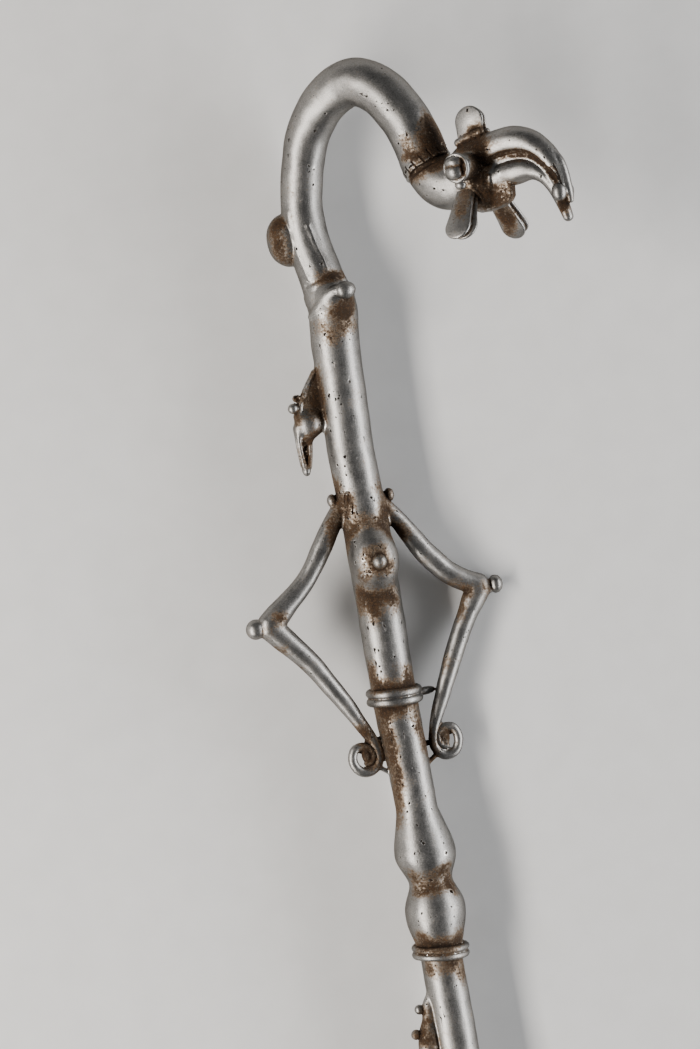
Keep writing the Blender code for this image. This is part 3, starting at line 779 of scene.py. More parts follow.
def add_beak_side(side):
    """One side of the beak: the hollow under its sharp edge, a slit, the nostril and small grooves."""
    rows = [(*head_place(forward, up, side * aside), radius) for forward, up, aside, radius in beak_hollow]
    staff.carve(tube(rows, crook_frame), 0.15)
    soil_and_shade(tube(rows, crook_frame), 0.9, 0.9)
    slit = [(0.895, -0.045, 0.3, 0.0), (0.93, -0.10, 0.6, 0.0), (0.962, -0.165, 0.4, 0.0)]
    strip = [(0.945, -0.02, 0.3, 0.15), (0.968, -0.10, 0.4, 0.15), (0.979, -0.19, 0.4, 0.15),
             (0.985, -0.27, 0.4, 0.1)]
    for line in (slit, strip):
        rows = [(*head_place(forward, up)[:2], radius, lift) for forward, up, radius, lift in line]
        groove(rows, crook_frame, 0.3, side)
    staff.add(ball(head_place(0.942, -0.287, side * 3.4), (3.5, 4.4, 3.6), crook_frame), 0.2)
    staff.carve(ball(head_place(0.945, -0.44, side * 4.1), (1.3, 2.6, 1.1), crook_frame), 0.8)
    # The patch at 0.165 forwards lies in the hollow between the eye's stalk and the beak: painted shade
    # there, with some earth.
    patches = [
        ((0.945, -0.41, 3.0), (1.0, 2.0, 2.0), 0.9, 2.0), ((0.915, -0.10, 5.0), (2.2, 2.6, 2.0), 0.6, 1.4),
        ((0.27, -0.205, 5.0), (10.0, 3.6, 2.0), 0.8, 5.5), ((0.165, -0.02, 8.5), (2.0, 7.0, 3.0), 0.9, 4.5),
        ((0.235, 0.22, 6.0), (1.0, 6.0, 2.0), 0.8, 3.5), ((0.11, 0.28, 7.0), (5.0, 1.0, 3.0), 0.9, 3.0),
    ]
    for (forward, up, aside), sizes, amount, soft in patches:
        soil_and_shade_ball(head_place(forward, up, side * aside), sizes, amount, crook_frame, soft)
    for forward, high, low in ((0.208, 0.03, -0.11), (0.268, -0.02, -0.095)):
        rows = [head_place(forward, high)[:2], head_place(forward - 0.016, low)[:2]]
        ridge([(*place, 0.75, -0.2) for place in rows], crook_frame, 0.4, side)
    rows = [head_place(0.115, -0.115)[:2], head_place(0.14, -0.175)[:2], head_place(0.15, -0.24)[:2]]
    ridge([(*place, 1.0, -0.3) for place in rows], crook_frame, 0.5, side)


def add_collar():
    """The stitched band round the crook before the bulb, its ridge, and the crescent groove below."""
    place = np.array((0.6745 * crook_height, crook_up + 0.5685 * crook_height, 0.0))
    along = np.array((0.45, -0.893, 0.0))
    across = np.array((0.893, 0.45, 0.0))
    off = np.array((0.0, 0.0, 1.0))
    outside = crook_radius + 0.5
    staff.add(hoop(place, along, outside - 0.9, 0.9, crook_frame, 2.4), 0.3)
    staff.add(hoop(place + along * 2.1, along, outside - 0.45, 0.6, crook_frame, 0.55), 0.3)
    for step in range(16):
        turn = math.radians(3.5 + 22.5 * step)
        out = across * math.sin(turn) + off * math.cos(turn)
        round_way = across * math.cos(turn) - off * math.sin(turn)
        middle = place + out * (outside + 0.1)
        lean = along + round_way * 0.18
        cut_stitch(middle - lean * 2.0, middle + lean * 1.9)
        if step % 5 == 0:
            middle = middle - round_way * 2.2
            cut_stitch(middle - round_way * 0.9, middle + round_way * 0.9)
    staff.fine.append((out_of(crook_frame, place[None, :])[0], outside + 2.5, 0.5))
    crescent = [(66.4, 1085.0, 0.3, 0.1), (67.5, 1087.0, 0.8, 0.3), (70.3, 1089.1, 1.3, 0.45),
                (74.2, 1091.0, 1.25, 0.45), (78.0, 1092.0, 0.8, 0.3), (80.5, 1092.6, 0.4, 0.1)]
    rows = laid(crescent, crook_frame)
    staff.carve(tube(rows, crook_frame), 0.5)
    soil_and_shade(tube(rows, crook_frame), 0.85, 1.3)
    # The first patch, above the band where the limb overhangs it, is partly earth and partly painted shade of
    # that pocket.
    patches = [
        ((81.5, 1100.5, 4.0), (5.5, 4.5, 7.0), 0.95, 2.5), ((76.0, 1106.0, 2.0), (4.5, 8.0, 7.0), 0.7, 3.0),
        ((70.0, 1097.0, 10.5), (5.0, 1.6, 3.0), 0.6, 1.8), ((82.5, 1091.5, 9.0), (4.5, 3.5, 4.0), 0.7, 2.0),
    ]
    for middle, sizes, amount, soft in patches:
        soil_and_shade_ball(middle, sizes, amount, crook_frame, soft)


def cut_stitch(start, end):
    """One short slot between two places of the crook's frame."""
    form = tube([(*start, 0.42), (*end, 0.42)], crook_frame)
    staff.carve(form, 0.1)
    staff.cuts.append(form)


def add_crook_lines():
    """The low lines along the crook's limb."""
    for line in (((-6.3, 1082.2), (-5.7, 1070.2), (-3.8, 1059.0), (-0.6, 1049.4)),
                 ((2.0, 1074.3), (4.0, 1064.8), (6.5, 1057.1), (7.7, 1052.4))):
        ridge([(across, up, 1.1, -0.92) for across, up in line], crook_frame, 1.0)


# What the photo shows, read off it in its own pixels, across and down.
# A pit has its radius in millimetres too.
crook_pits = [
    (289, 139, 0.5), (288, 155, 0.4), (309, 166, 0.4), (314, 169.5, 0.4), (313.5, 184, 0.5),
    (325.5, 114, 0.4), (315, 130, 0.4), (362, 94, 0.4), (367, 96.5, 0.4), (387, 110, 0.3),
    (398.5, 144, 0.5), (407, 135, 0.4), (297, 249, 0.5), (308, 281, 0.4), (321.5, 264, 0.4),
    (310, 266.5, 0.3), (325, 334.5, 0.5), (331, 338, 0.4), (320, 346, 0.5), (354, 327, 0.4),
]
head_pits = [
    (419.7, 184, 0.5), (434, 188, 0.6), (443, 190, 0.4), (427, 195.5, 0.3), (487, 149, 0.4),
    (498, 172, 0.4), (541, 176.5, 0.5), (544, 157.5, 0.3), (527, 163, 0.3), (467.5, 110, 0.5),
    (471.5, 137, 0.4),
]
neck_pits = [
    (329, 395.5, 0.6), (335.5, 399.5, 0.4), (338.5, 398, 0.4), (341, 403.5, 0.4), (326.5, 413.5, 0.3),
    (330.5, 431, 0.5), (345, 432.5, 0.3), (349.5, 381.5, 0.4), (333, 363, 0.3), (332, 456, 0.5),
    (345, 456.5, 0.7), (337.5, 465, 0.4), (345, 466.5, 0.3), (346.5, 475, 0.4), (341, 485, 0.5),
    (364, 437.5, 0.3), (361.5, 397.5, 0.3),
]
shoulder_pits = [
    (371.5, 498, 0.5), (374, 500.5, 0.4), (397, 511, 0.4), (352.5, 511.5, 0.5), (357.5, 513.5, 0.4),
    (347.5, 518, 0.6), (375, 517, 0.5), (322.5, 526, 0.4), (354.5, 541.5, 0.5), (355.5, 546.5, 0.4),
]
navel_pits = [
    (355.5, 562.5, 0.5), (363.5, 554.5, 0.4), (362.5, 559, 0.4), (369.5, 571.5, 0.6), (362.5, 577, 0.6),
    (367, 575, 0.4), (395, 559, 0.4), (386, 575.5, 0.4), (380, 547, 0.4), (365, 605.5, 0.4),
    (368, 628.5, 0.5), (373.5, 624.5, 0.5), (384.5, 626.5, 0.4), (401.5, 622.5, 0.5), (374.5, 649, 0.5),
    (378, 650, 0.5), (403.5, 642, 0.3), (394.5, 656.5, 0.3), (446, 657, 0.4),
]
belt_pits = [
    (376, 662.5, 0.5), (379.5, 666, 0.5), (381.5, 671, 0.4), (377.5, 674.5, 0.4), (407, 669, 0.4),
    (391.5, 732, 0.4), (392, 740, 0.4), (403.5, 734, 0.3), (413, 726.5, 0.7), (390.5, 723, 0.4),
    (401, 757, 0.4), (403.5, 785, 0.5), (399, 784.5, 0.4), (425.5, 795.5, 0.3), (409, 803, 0.5),
    (407, 812, 0.5), (417, 825, 0.4), (432, 809, 0.4), (441.5, 749.5, 0.4),
]
knop_pits = [
    (422.5, 842, 0.8), (414.5, 853.5, 0.4), (446.5, 852.5, 0.6), (400.5, 857.5, 0.3), (431, 880.5, 0.7),
    (451.5, 891, 1), (451.5, 906.5, 0.3), (422, 913.5, 0.4), (441, 1018, 0.4), (445, 1016.5, 0.3),
]
seen_pits = crook_pits + head_pits + neck_pits + shoulder_pits + navel_pits + belt_pits + knop_pits
# The two ends of each crack
seen_cracks = [((339, 493), (349, 492.5)), ((344.5, 494), (344.5, 503)), ((348, 494), (348, 503)),
               ((352.5, 506.5), (352.5, 514))]
# A patch of earth has its half width and half height in pixels, and how thick it is
limb_earth = [
    (428, 119, 3, 8, 0.6), (434.5, 133, 6, 7, 0.7), (427, 138, 5, 3, 0.6), (407, 146, 2.5, 8, 0.65),
    (422, 153.5, 8, 3, 0.8), (441, 151, 8, 3, 0.95), (437, 160, 8, 5, 0.8), (415.5, 175, 5, 3, 0.9),
    (423, 167.5, 5, 3, 0.85), (434.5, 166, 7, 3, 0.7),
]
head_earth = [
    (473, 130.5, 5, 2, 0.7), (466.5, 144.5, 8, 2, 0.7), (483, 146, 4, 6, 0.5), (471.5, 189, 6, 5, 0.55),
    (484, 197, 6, 6, 0.55), (498, 199.5, 9, 5, 0.45), (461.5, 209.5, 3, 6, 0.45),
    (507, 215, 6, 7, 0.95), (509, 230.5, 2, 2, 0.8), (564.5, 206, 2.5, 4, 0.8),
]
boss_earth = [
    (275.5, 226, 5, 6, 0.85), (279, 247, 5, 6, 0.9), (287, 260, 3, 2, 0.7), (327, 277, 9, 3, 0.85),
    (338, 310, 8, 7, 0.85), (344, 319, 6, 5, 0.7), (336.5, 334, 3, 8, 0.5), (319, 327, 3, 1.5, 0.6),
    (354, 327, 2, 3, 0.6), (331, 338, 2, 3, 0.6),
]
bird_earth = [
    (316.5, 386, 1.5, 12, 0.8), (317, 402, 2, 8, 0.8), (312.5, 398, 3, 3, 0.5), (310, 404, 3, 4, 0.5),
    (313.5, 416.5, 3, 3, 0.6), (315, 436, 6, 4, 0.85), (308, 448.5, 1.5, 4, 0.7),
    (307.5, 460, 3, 6, 0.85), (297, 419, 1.5, 2, 0.7), (296, 396, 3, 2, 0.7),
]
shoulder_earth = [
    (335.5, 485.5, 2, 5, 0.85), (339, 499, 4, 6, 0.75), (349, 504, 2.5, 8, 0.85),
    (344.5, 513, 6, 5, 0.8), (379, 488, 2, 4, 0.7), (385, 493.5, 3, 3, 0.8), (382.5, 507, 3, 6, 0.75),
    (386, 513, 4, 5, 0.85), (385.5, 524, 4, 5, 0.9), (389, 533.5, 3, 5, 0.85), (376, 521.5, 7, 3, 0.7),
    (360.5, 519.5, 6, 3, 0.8), (351, 530.5, 8, 5, 0.85), (346.5, 538, 4, 7, 0.75),
    (346.5, 551, 2, 8, 0.7), (336, 521.5, 3, 9, 0.8), (332.5, 536, 3, 12, 0.75), (394, 526, 6, 5, 0.9),
    (401, 534.5, 5, 4, 0.8),
]
navel_earth = [
    (378, 551, 7, 2, 0.7), (365, 558.5, 4, 4, 0.6), (389, 567, 2, 4, 0.6), (380, 571.5, 6, 1.5, 0.6),
    (362.5, 576.5, 3, 3, 0.6), (359.5, 592, 5, 5, 0.8), (367, 597.5, 6, 5, 0.9),
    (376, 599.5, 7, 6, 0.95), (384.5, 597.5, 6, 4, 0.8), (391, 592, 5, 5, 0.7),
    (395.5, 597.5, 3, 7, 0.6), (360.5, 606, 3, 7, 0.75), (376, 612.5, 5, 6, 0.85),
    (375, 619.5, 4, 3, 0.7), (394.5, 607.5, 2, 6, 0.5),
]
arm_earth = [
    (281, 619, 5, 2.5, 0.9), (268, 633, 5, 6, 0.45), (280, 650, 6, 2.5, 0.55), (300, 668, 5, 3, 0.5),
    (467, 591, 4, 3, 0.9), (460.5, 610.5, 2.5, 8, 0.7), (445.5, 659.5, 2, 6, 0.6),
    (449.5, 584.5, 8, 2, 0.6), (487, 590, 2, 5, 0.6),
]
belt_earth = [
    (378, 686, 9, 4, 0.85), (392, 686, 7, 3, 0.7), (405, 684, 5, 3, 0.7), (411.5, 680.5, 2.5, 4, 0.85),
    (371.5, 673, 2.5, 9, 0.8), (400.5, 670, 4, 5, 0.5), (409.5, 673, 2, 5, 0.6),
    (386.5, 711, 11, 4, 0.85), (400.5, 709, 6, 2.5, 0.7), (383.5, 720.5, 6, 6, 0.85),
    (415, 714, 3, 5, 0.6), (417, 725, 3, 5, 0.65), (387.5, 736, 2.5, 8, 0.8), (422.5, 736, 2, 7, 0.7),
    (391, 746.5, 2.5, 9, 0.85), (425.5, 746.5, 2, 5, 0.7), (394, 764, 3, 9, 0.85),
    (397.5, 777, 4, 8, 0.8), (395.5, 790, 2, 7, 0.7), (398, 801, 2, 6, 0.6), (399, 814, 1.5, 6, 0.6),
]
coil_earth = [
    (364, 736, 5, 5, 0.85), (368, 752, 5, 7, 0.98), (372.5, 764, 5, 3, 0.7), (359.5, 729.5, 4, 3, 0.6),
    (444, 735, 4, 6, 0.85), (433, 755.5, 5, 3, 0.8), (430, 740, 1.5, 5, 0.7),
]
knop_earth = [
    (412.5, 875.5, 4, 5, 0.85), (417.5, 891, 6, 5, 0.85), (433, 889, 8, 4, 0.8),
    (433, 875.5, 7, 4, 0.6), (445, 868.5, 6, 3, 0.85), (448.5, 880.5, 5, 7, 0.7),
    (452, 887.5, 2.5, 5, 0.8), (433, 882, 16, 8, 0.45),
]
collar_earth = [
    (421, 937.5, 5, 5, 0.7), (433, 942.5, 8, 3, 0.75), (426, 947.5, 9, 2, 0.85), (445, 947, 8, 2, 0.85),
    (459, 937, 4, 6, 0.8), (428, 970, 5, 3.5, 0.8), (440, 968.5, 5, 2, 0.5), (452, 966.5, 7, 3, 0.8),
    (462, 970, 3, 5, 0.7), (462, 978.5, 2, 3, 0.5),
]
beast_earth = [
    (424.5, 1016.5, 3, 7, 0.7), (420, 1037, 3, 5, 0.8), (429.5, 1040.5, 4, 5, 0.85),
]
seen_earth = (limb_earth + head_earth + boss_earth + bird_earth + shoulder_earth + navel_earth + arm_earth
              + belt_earth + coil_earth + knop_earth + collar_earth + beast_earth)
# Earth out of the photo's sight: a middle, three half sizes, and how thick it is
unseen_earth = [
    ((-16, 1070, 14), (4, 8, 3), 0.7), ((-12, 940, 12), (2, 9, 3), 0.75), ((11, 935, 10), (2, 9, 3), 0.75),
    ((0.4, lower_knop_up + 14, 15), (15, 3, 15), 0.7), ((0.4, lower_knop_up - 12, 15), (15, 1, 15), 0.5),
    ((0.8, knop_up + 14, 6), (14, 3, 8), 0.7), ((0.8, knop_up - 12, 8), (14, 2, 10), 0.6),
    ((0, foot_ring_up + 6, 15), (15, 1, 15), 0.5), ((-13.5, beast_up - 9, 17), (1.5, 20, 3), 0.7),
    ((0, belt_up - 8, 8), (12, 1, 8), 0.6), ((2, navel_up - 17, 6), (10, 3, 6), 0.5),
    ((0, 11.5, 15), (13, 0.5, 13), 0.5),
]


def add_marks():
    """The cracks and deeper pits that the photo shows."""
    for ends in seen_cracks:
        groove([(across, up, 0.33, 0.15) for across, up, _ in seen_at(ends)], above, 0.15, 1, 0.3)
    for place, (_, _, radius) in zip(seen_at(seen_pits), seen_pits):
        pit(place, radius)


def add_soil():
    """Earth where the staff's forms meet, as the photo shows it, and the like out of sight."""
    scale = earth_share * mm_per_pixel
    for place, (_, _, half_width, half_height, amount) in zip(seen_at(seen_earth), seen_earth):
        soil_and_shade_ball(place, (scale * half_width, scale * half_height, 1.0), amount, above, earth_soft)
    for place, sizes, amount in unseen_earth:
        soil_and_shade_ball(place, sizes, amount, above, earth_soft)
    ring = hoop((0, navel_up - 0.6, 19.5), (0, 0, 1), 4.2, 0.4, turned(navel_turn), 1.0)
    soil_and_shade(ring, 0.45, 1.6)
    for side in (-1, 1):
        tilt = [(side * 9.0, 47.0, -6.0, 3.0), (side * 13.0, 42.0, -5.0, 2.5)]
        rows = [(out, elbow_up + up, rise, radius) for out, up, rise, radius in tilt]
        soil_and_shade(tube(rows, arm_frame), 0.8, 2.0)


def add_head():
    """The head on the crook's end: skull, throat, beak, eyes, ears and crest."""
    staff.add(ball(head_place(0.03, 0.01), (15.0, 16.75, 12.25), crook_frame), 1.5)
    staff.add(ball(head_place(0.10, -0.20), (9.5, 6.5, 8.5), crook_frame), 1.5)
    corners = [(0.0, 0.0), (0.0, -0.05), (-0.06, -0.29), (0.08, -0.345), (0.25, -0.325)]
    for level, half_thick, reach in ((0.0, 4.2, 0.38), (4.2, 1.2, 0.455), (-4.2, 1.2, 0.385)):
        tip = [(reach - 0.045, -0.285), (reach - 0.01, -0.24), (reach, -0.12), (reach - 0.15, 0.0)]
        jaw = [head_place(*place)[:2] for place in tip + corners]
        staff.add(slab(jaw, half_thick, min(1.6, half_thick - 0.1), crook_frame, level), 0.9)
    for rows, widen, fillet in ((beak_web, 1.15, 0.8), (upper_beak, 1.12, 0.7), (beak_lip, 1.55, 1.5),
                                (lower_beak, 1.12, 0.7), (beak_strip, 1.1, 0.25)):
        staff.add(tube(head_rows(rows), crook_frame, widen=widen), fillet)
    for side in (-1, 1):
        add_beak_side(side)
        add_eye(side)
        add_ear(side)
    root = Matrix.Translation(head_place(0.025, 0.245)) @ Matrix.Rotation(math.radians(-6), 4, "Z")
    facing_back = Matrix.Rotation(math.radians(180), 4, "Y")
    leaning = Matrix.Rotation(math.radians(7), 4, "X")
    plates(crook_frame @ root @ facing_back @ leaning, crest_length, crest_width)
    crest_foot = [(-0.07, 0.345, 2.2), (0.05, 0.372, 2.4), (0.19, 0.400, 2.2)]
    for side in (-1, 1):
        rows = [(*head_place(forward, up, side * 2.6), radius) for forward, up, radius in crest_foot]
        staff.add(tube(rows, crook_frame), 0.3)
        soil_and_shade_ball(head_place(0.13, 0.44, side * 3.5), (4.0, 2.0, 1.5), 0.7, crook_frame, 1.8)
        soil_and_shade_ball(head_place(0.08, 0.31, side * 5.0), (7.0, 1.6, 3.0), 0.75, crook_frame, 1.8)


def add_shaft():
    """The shaft with its foot and rings, and the crook that runs on from it."""
    staff.add(shaft_form(), 0)
    staff.add(foot_form(), 1.5)
    staff.add(tube(crook_rows(), crook_frame), 0)
    tilted = [(foot_ring_up, collar_width, collar_radius, 2), (belt_up, belt_width, belt_radius, 3),
              (lower_knop_up - collar_drop, collar_width, collar_radius, -3),
              (knop_up - collar_drop, collar_width, collar_radius, 6)]
    for up, width, radius, tilt in tilted:
        for thread in threads(up, width, radius, tilt):
            staff.add(thread, 0.35)


add_shaft()
add_arm(-1, left_upper_arm, left_forearm, left_coil, 62.6, (5.0, 5.0, 5.0), 55.0)
add_arm(1, right_upper_arm, right_forearm, right_coil, 59.2, (3.6, 4.6, 4.4), 53.0)
add_bosses()
add_creatures()
add_head()
add_collar()
add_crook_lines()
add_marks()
add_soil()


# The mesh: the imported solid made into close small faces, drawn onto the field, then thinned

def slope(points, step=0.12):
    """The field and its steepest direction at each point."""
    corners = np.array([(1, -1, -1), (-1, -1, 1), (-1, 1, -1), (1, 1, 1)], float)
    total = np.zeros_like(points)
    middle = np.zeros(len(points))
    for corner in corners:
        value = staff.field(points + corner * step)
        total += value[:, None] * corner
        middle += value / 4
    return middle, total / (4 * step)


def drawn(points, rounds, most=1.0):
    """Points moved along the field's slope until they lie on the surface."""
    for _ in range(rounds):
        value, lean = slope(points)
        square = np.maximum((lean ** 2).sum(1), 0.25)
        step = -value / square
        length = np.abs(step) * np.sqrt((lean ** 2).sum(1))
        step *= np.minimum(1, most / np.maximum(length, 1e-9))
        points = points + lean * step[:, None]
        points[:, 2] = np.maximum(points[:, 2], 0)
    return points


def evaluated(item):
    """The mesh of an object with its modifiers carried out."""
    bpy.context.view_layer.update()
    shown = item.evaluated_get(bpy.context.evaluated_depsgraph_get())
    return bpy.data.meshes.new_from_object(shown)


def read_points(mesh):
    """A mesh's points in the staff's frame, in millimetres."""
    flat = np.empty(len(mesh.vertices) * 3)
    mesh.vertices.foreach_get("co", flat)
    return (flat.reshape(-1, 3) - np.array(origin)) / MM


def write_points(mesh, points):
    """Puts points of the staff's frame into a mesh."""
    mesh.vertices.foreach_set("co", (points * MM + np.array(origin)).ravel())
    mesh.update()


def made_closer(mesh, rounds=2):
    """Splits the long edges in the finely worked places."""
    middles, reaches, edges = (np.array(column) for column in zip(*staff.fine))
    for _ in range(rounds):
        points = read_points(mesh)
        ends = np.empty(len(mesh.edges) * 2, int)
        mesh.edges.foreach_get("vertices", ends)
        first, second = points[ends[::2]], points[ends[1::2]]
        length = np.linalg.norm(first - second, axis=1)
        long = np.zeros(len(length), bool)
        for middle, reach, edge in zip(middles, reaches, edges):
            near = (((first + second) / 2 - middle) ** 2).sum(1) < reach ** 2
            long |= near & (length > edge * 1.4)
        working = bmesh.new()
        working.from_mesh(mesh)
        working.edges.ensure_lookup_table()
        chosen = [working.edges[int(index)] for index in np.nonzero(long)[0]]
        bmesh.ops.subdivide_edges(working, edges=chosen, cuts=1)
        bmesh.ops.triangulate(working, faces=[face for face in working.faces if len(face.verts) > 3])
        working.to_mesh(mesh)
        working.free()


def blocks(low, high, size=1.1):
    """Corners and square faces of the small blocks of a box that lie inside the casting."""
    counts = np.ceil((np.array(high) - low) / size).astype(int)
    cells = np.indices(counts).reshape(3, -1).T
    inside = np.zeros(counts + 2, bool)
    inside[1:-1, 1:-1, 1:-1] = (staff.field(low + (cells + 0.5) * size) < -0.3).reshape(counts)
    squares = []
    for axis in range(3):
        first, second = np.eye(3, dtype=int)[[(axis + 1) % 3, (axis + 2) % 3]]
        for way in (-1, 1):
            bare = inside & ~np.roll(inside, -way, axis)
            corner = np.argwhere(bare) - 1 + (way > 0) * np.eye(3, dtype=int)[axis]
            loop = (0 * first, first, first + second, second)[::way]
            squares.append(np.stack([corner + step for step in loop], 1))
    corners = np.concatenate(squares).reshape(-1, 3)
    places, index = np.unique(corners, axis=0, return_inverse=True)
    return low + places * size, index.reshape(-1, 4)


def first_mesh(solid):
    """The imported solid's mesh, joined by blocks where the finer forms stand proud of it."""
    working = bmesh.new()
    working.from_mesh(solid.data)
    for low, high in worked_boxes:
        places, faces = blocks(np.array(low), high)
        made = [working.verts.new(place) for place in places * MM + np.array(origin)]
        for face in faces:
            working.faces.new([made[index] for index in face])
    mesh = bpy.data.meshes.new("cast_staff_first")
    working.to_mesh(mesh)
    working.free()
    return mesh


# The boxes round the head, boss, bird, belt's spike and coils, where forms stand proud of the solid
worked_boxes = [((50.0, 1040.0, 45.0), (121.0, 1122.0, 103.0)), ((-14.0, 1022.0, 14.0), (20.0, 1054.0, 42.0)),
                ((-32.0, 950.0, 8.0), (-7.0, 1012.0, 32.0)), ((10.0, 832.0, 0.5), (26.0, 848.0, 18.0)),
                ((-30.0, 802.0, 12.0), (-10.0, 826.0, 26.0)), ((12.0, 802.0, 4.0), (32.0, 826.0, 19.0))]


def make_surface():
    """The staff's one surface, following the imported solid."""
    solid = frame["nodes"][node_name]
    surface = bpy.data.objects.new("cast_staff_surface", first_mesh(solid))
    bpy.context.scene.collection.objects.link(surface)
    for size, rounds in ((2 * voxel, 6), (voxel, 2)):
        close = surface.modifiers.new("close", "REMESH")
        close.mode = "VOXEL"
        close.voxel_size = size * MM
        mesh = evaluated(surface)
        surface.modifiers.clear()
        write_points(mesh, drawn(read_points(mesh), rounds))
        surface.data = mesh
    thin = surface.modifiers.new("thin", "DECIMATE")
    thin.ratio = min(1.0, most_triangles / (2 * len(mesh.polygons)))
    thin.use_collapse_triangulate = True
    mesh = evaluated(surface)
    surface.modifiers.clear()
    made_closer(mesh)
    points = drawn(read_points(mesh), 3, 0.5)
    write_points(mesh, points)
    surface.data = mesh
    mesh.shade_smooth()
    return surface, points


def hidden(points, normals, reach):
    """How shut in each point is: how much of the room in front of it is taken."""
    return np.clip(1 - staff.field(points + normals * reach) / reach, 0, 1)


def near_form(form, points, soft):
    """How near each point is to a form: one on or in it, falling to nothing over a soft reach."""
    low, high = form.low - soft, form.high + soft
    found = np.nonzero(((points > low) & (points < high)).all(1))[0]
    result = np.zeros(len(points))
    if len(found):
        result[found] = bell(np.clip(form.distance(points[found]), 0, soft), soft)
    return result


def finish_surface(surface, points):
    """Smooth normals, and what the material needs to know at each point."""
    _, lean = slope(points)
    normals = lean / np.maximum(np.linalg.norm(lean, axis=1), 1e-9)[:, None]
    facing = np.empty(len(points) * 3)
    surface.data.vertices.foreach_get("normal", facing)
    facing = facing.reshape(-1, 3)
    astray = (facing * normals).sum(1) < 0.55
    normals[astray] = facing[astray]
    surface.data.normals_split_custom_set_from_vertices(normals)
    crease = 0.5 * hidden(points, normals, 1.2) + 0.5 * hidden(points, normals, 3.5)
    worn = np.clip(1 + staff.field(points - normals * 0.9) / 0.9, 0, 1)
    bare = np.ones(len(points))
    for form, amount, soft in staff.soils_and_shade:
        bare *= 1 - amount * near_form(form, points, soft)
    cut = np.zeros(len(points))
    for form in staff.cuts:
        cut = np.maximum(cut, near_form(form, points, 0.3))
    for name, values in (("crease", crease), ("worn", worn), ("earth", 1 - bare), ("cut", cut)):
        layer = surface.data.attributes.new(name, "FLOAT", "POINT")
        layer.data.foreach_set("value", values)


surface, surface_points = make_surface()
finish_surface(surface, surface_points)


# Materials

class Wire:
    """A number on a surface, so that shader maths reads as sums."""

    def __init__(self, graph, socket):
        self.graph = graph
        self.socket = socket

    def __add__(self, other):
        return self.graph.sum("ADD", self, other)

    def __sub__(self, other):
        return self.graph.sum("SUBTRACT", self, other)

    def __rsub__(self, other):
        return self.graph.sum("SUBTRACT", other, self)

    def __mul__(self, other):
        return self.graph.sum("MULTIPLY", self, other)

    __radd__ = __add__


class Graph:
    """A material's nodes around one Principled shader."""

    def __init__(self, name):
        self.material = bpy.data.materials.new(name)
        self.material.use_nodes = True
        self.tree = self.material.node_tree
        self.shader = self.tree.nodes["Principled BSDF"]

    def feed(self, socket, value):
        """A link or a value into a socket."""
        if isinstance(value, Wire):
            self.tree.links.new(value.socket, socket)
        else:
            socket.default_value = value

    def node(self, kind, settings, inputs, output=0):
        """A node of a type, with its settings made first and then its sockets fed."""
        made = self.tree.nodes.new("ShaderNode" + kind)
        for name, value in settings.items():
            if name == "stops":
                self.set_stops(made.color_ramp, value)
            else:
                setattr(made, name, value)
        for name, value in inputs.items():
            self.feed(made.inputs[name], value)
        return Wire(self, made.outputs[output])

    def set_stops(self, ramp, stops):
        """A ramp's places and what holds there."""
        while len(ramp.elements) > len(stops):
            ramp.elements.remove(ramp.elements[-1])
        while len(ramp.elements) < len(stops):
            ramp.elements.new(1.0)
        for element, (place, colour) in zip(ramp.elements, stops):
            element.position = place
            element.color = (*colour, 1.0)

    def sum(self, operation, first, second):
        return self.node("Math", {"operation": operation}, {0: first, 1: second})

    def attribute(self, name):
        return self.node("Attribute", {"attribute_name": name}, {}, "Fac")

    def place(self):
        return self.node("TexCoord", {}, {}, "Object")

    def noise(self, place, scale, detail=3.0, roughness=0.5, output="Fac"):
        inputs = {"Vector": place, "Scale": scale, "Detail": detail, "Roughness": roughness}
        return self.node("TexNoise", {}, inputs, output)

    def bent(self, place, scale, reach):
        """A place moved a little by noise, for ragged shapes."""
        shift = self.noise(place, scale, 2.0, 0.5, "Color")
        inputs = {0: shift, 1: (reach, reach, reach), 2: place}
        return self.node("VectorMath", {"operation": "MULTIPLY_ADD"}, inputs, "Vector")

    def cells(self, place, scale, output="Distance"):
        return self.node("TexVoronoi", {}, {"Vector": place, "Scale": scale}, output)

    def step(self, value, low, high, to_low=0.0, to_high=1.0):
        """A smooth step from one value to another as the input rises from low to high."""
        inputs = {"Value": value, "From Min": low, "From Max": high, "To Min": to_low, "To Max": to_high}
        return self.node("MapRange", {"interpolation_type": "SMOOTHSTEP"}, inputs)

    def blend(self, share, first, second):
        """One colour over another by a share."""
        return self.node("Mix", {"data_type": "RGBA"}, {0: share, 6: first, 7: second}, 2)

    def ramp(self, share, stops):
        return self.node("ValToRGB", {"stops": stops}, {"Fac": share}, "Color")

    def bumped(self, height, strength, distance):
        inputs = {"Height": height, "Strength": strength, "Distance": distance}
        return self.node("Bump", {}, inputs, "Normal")


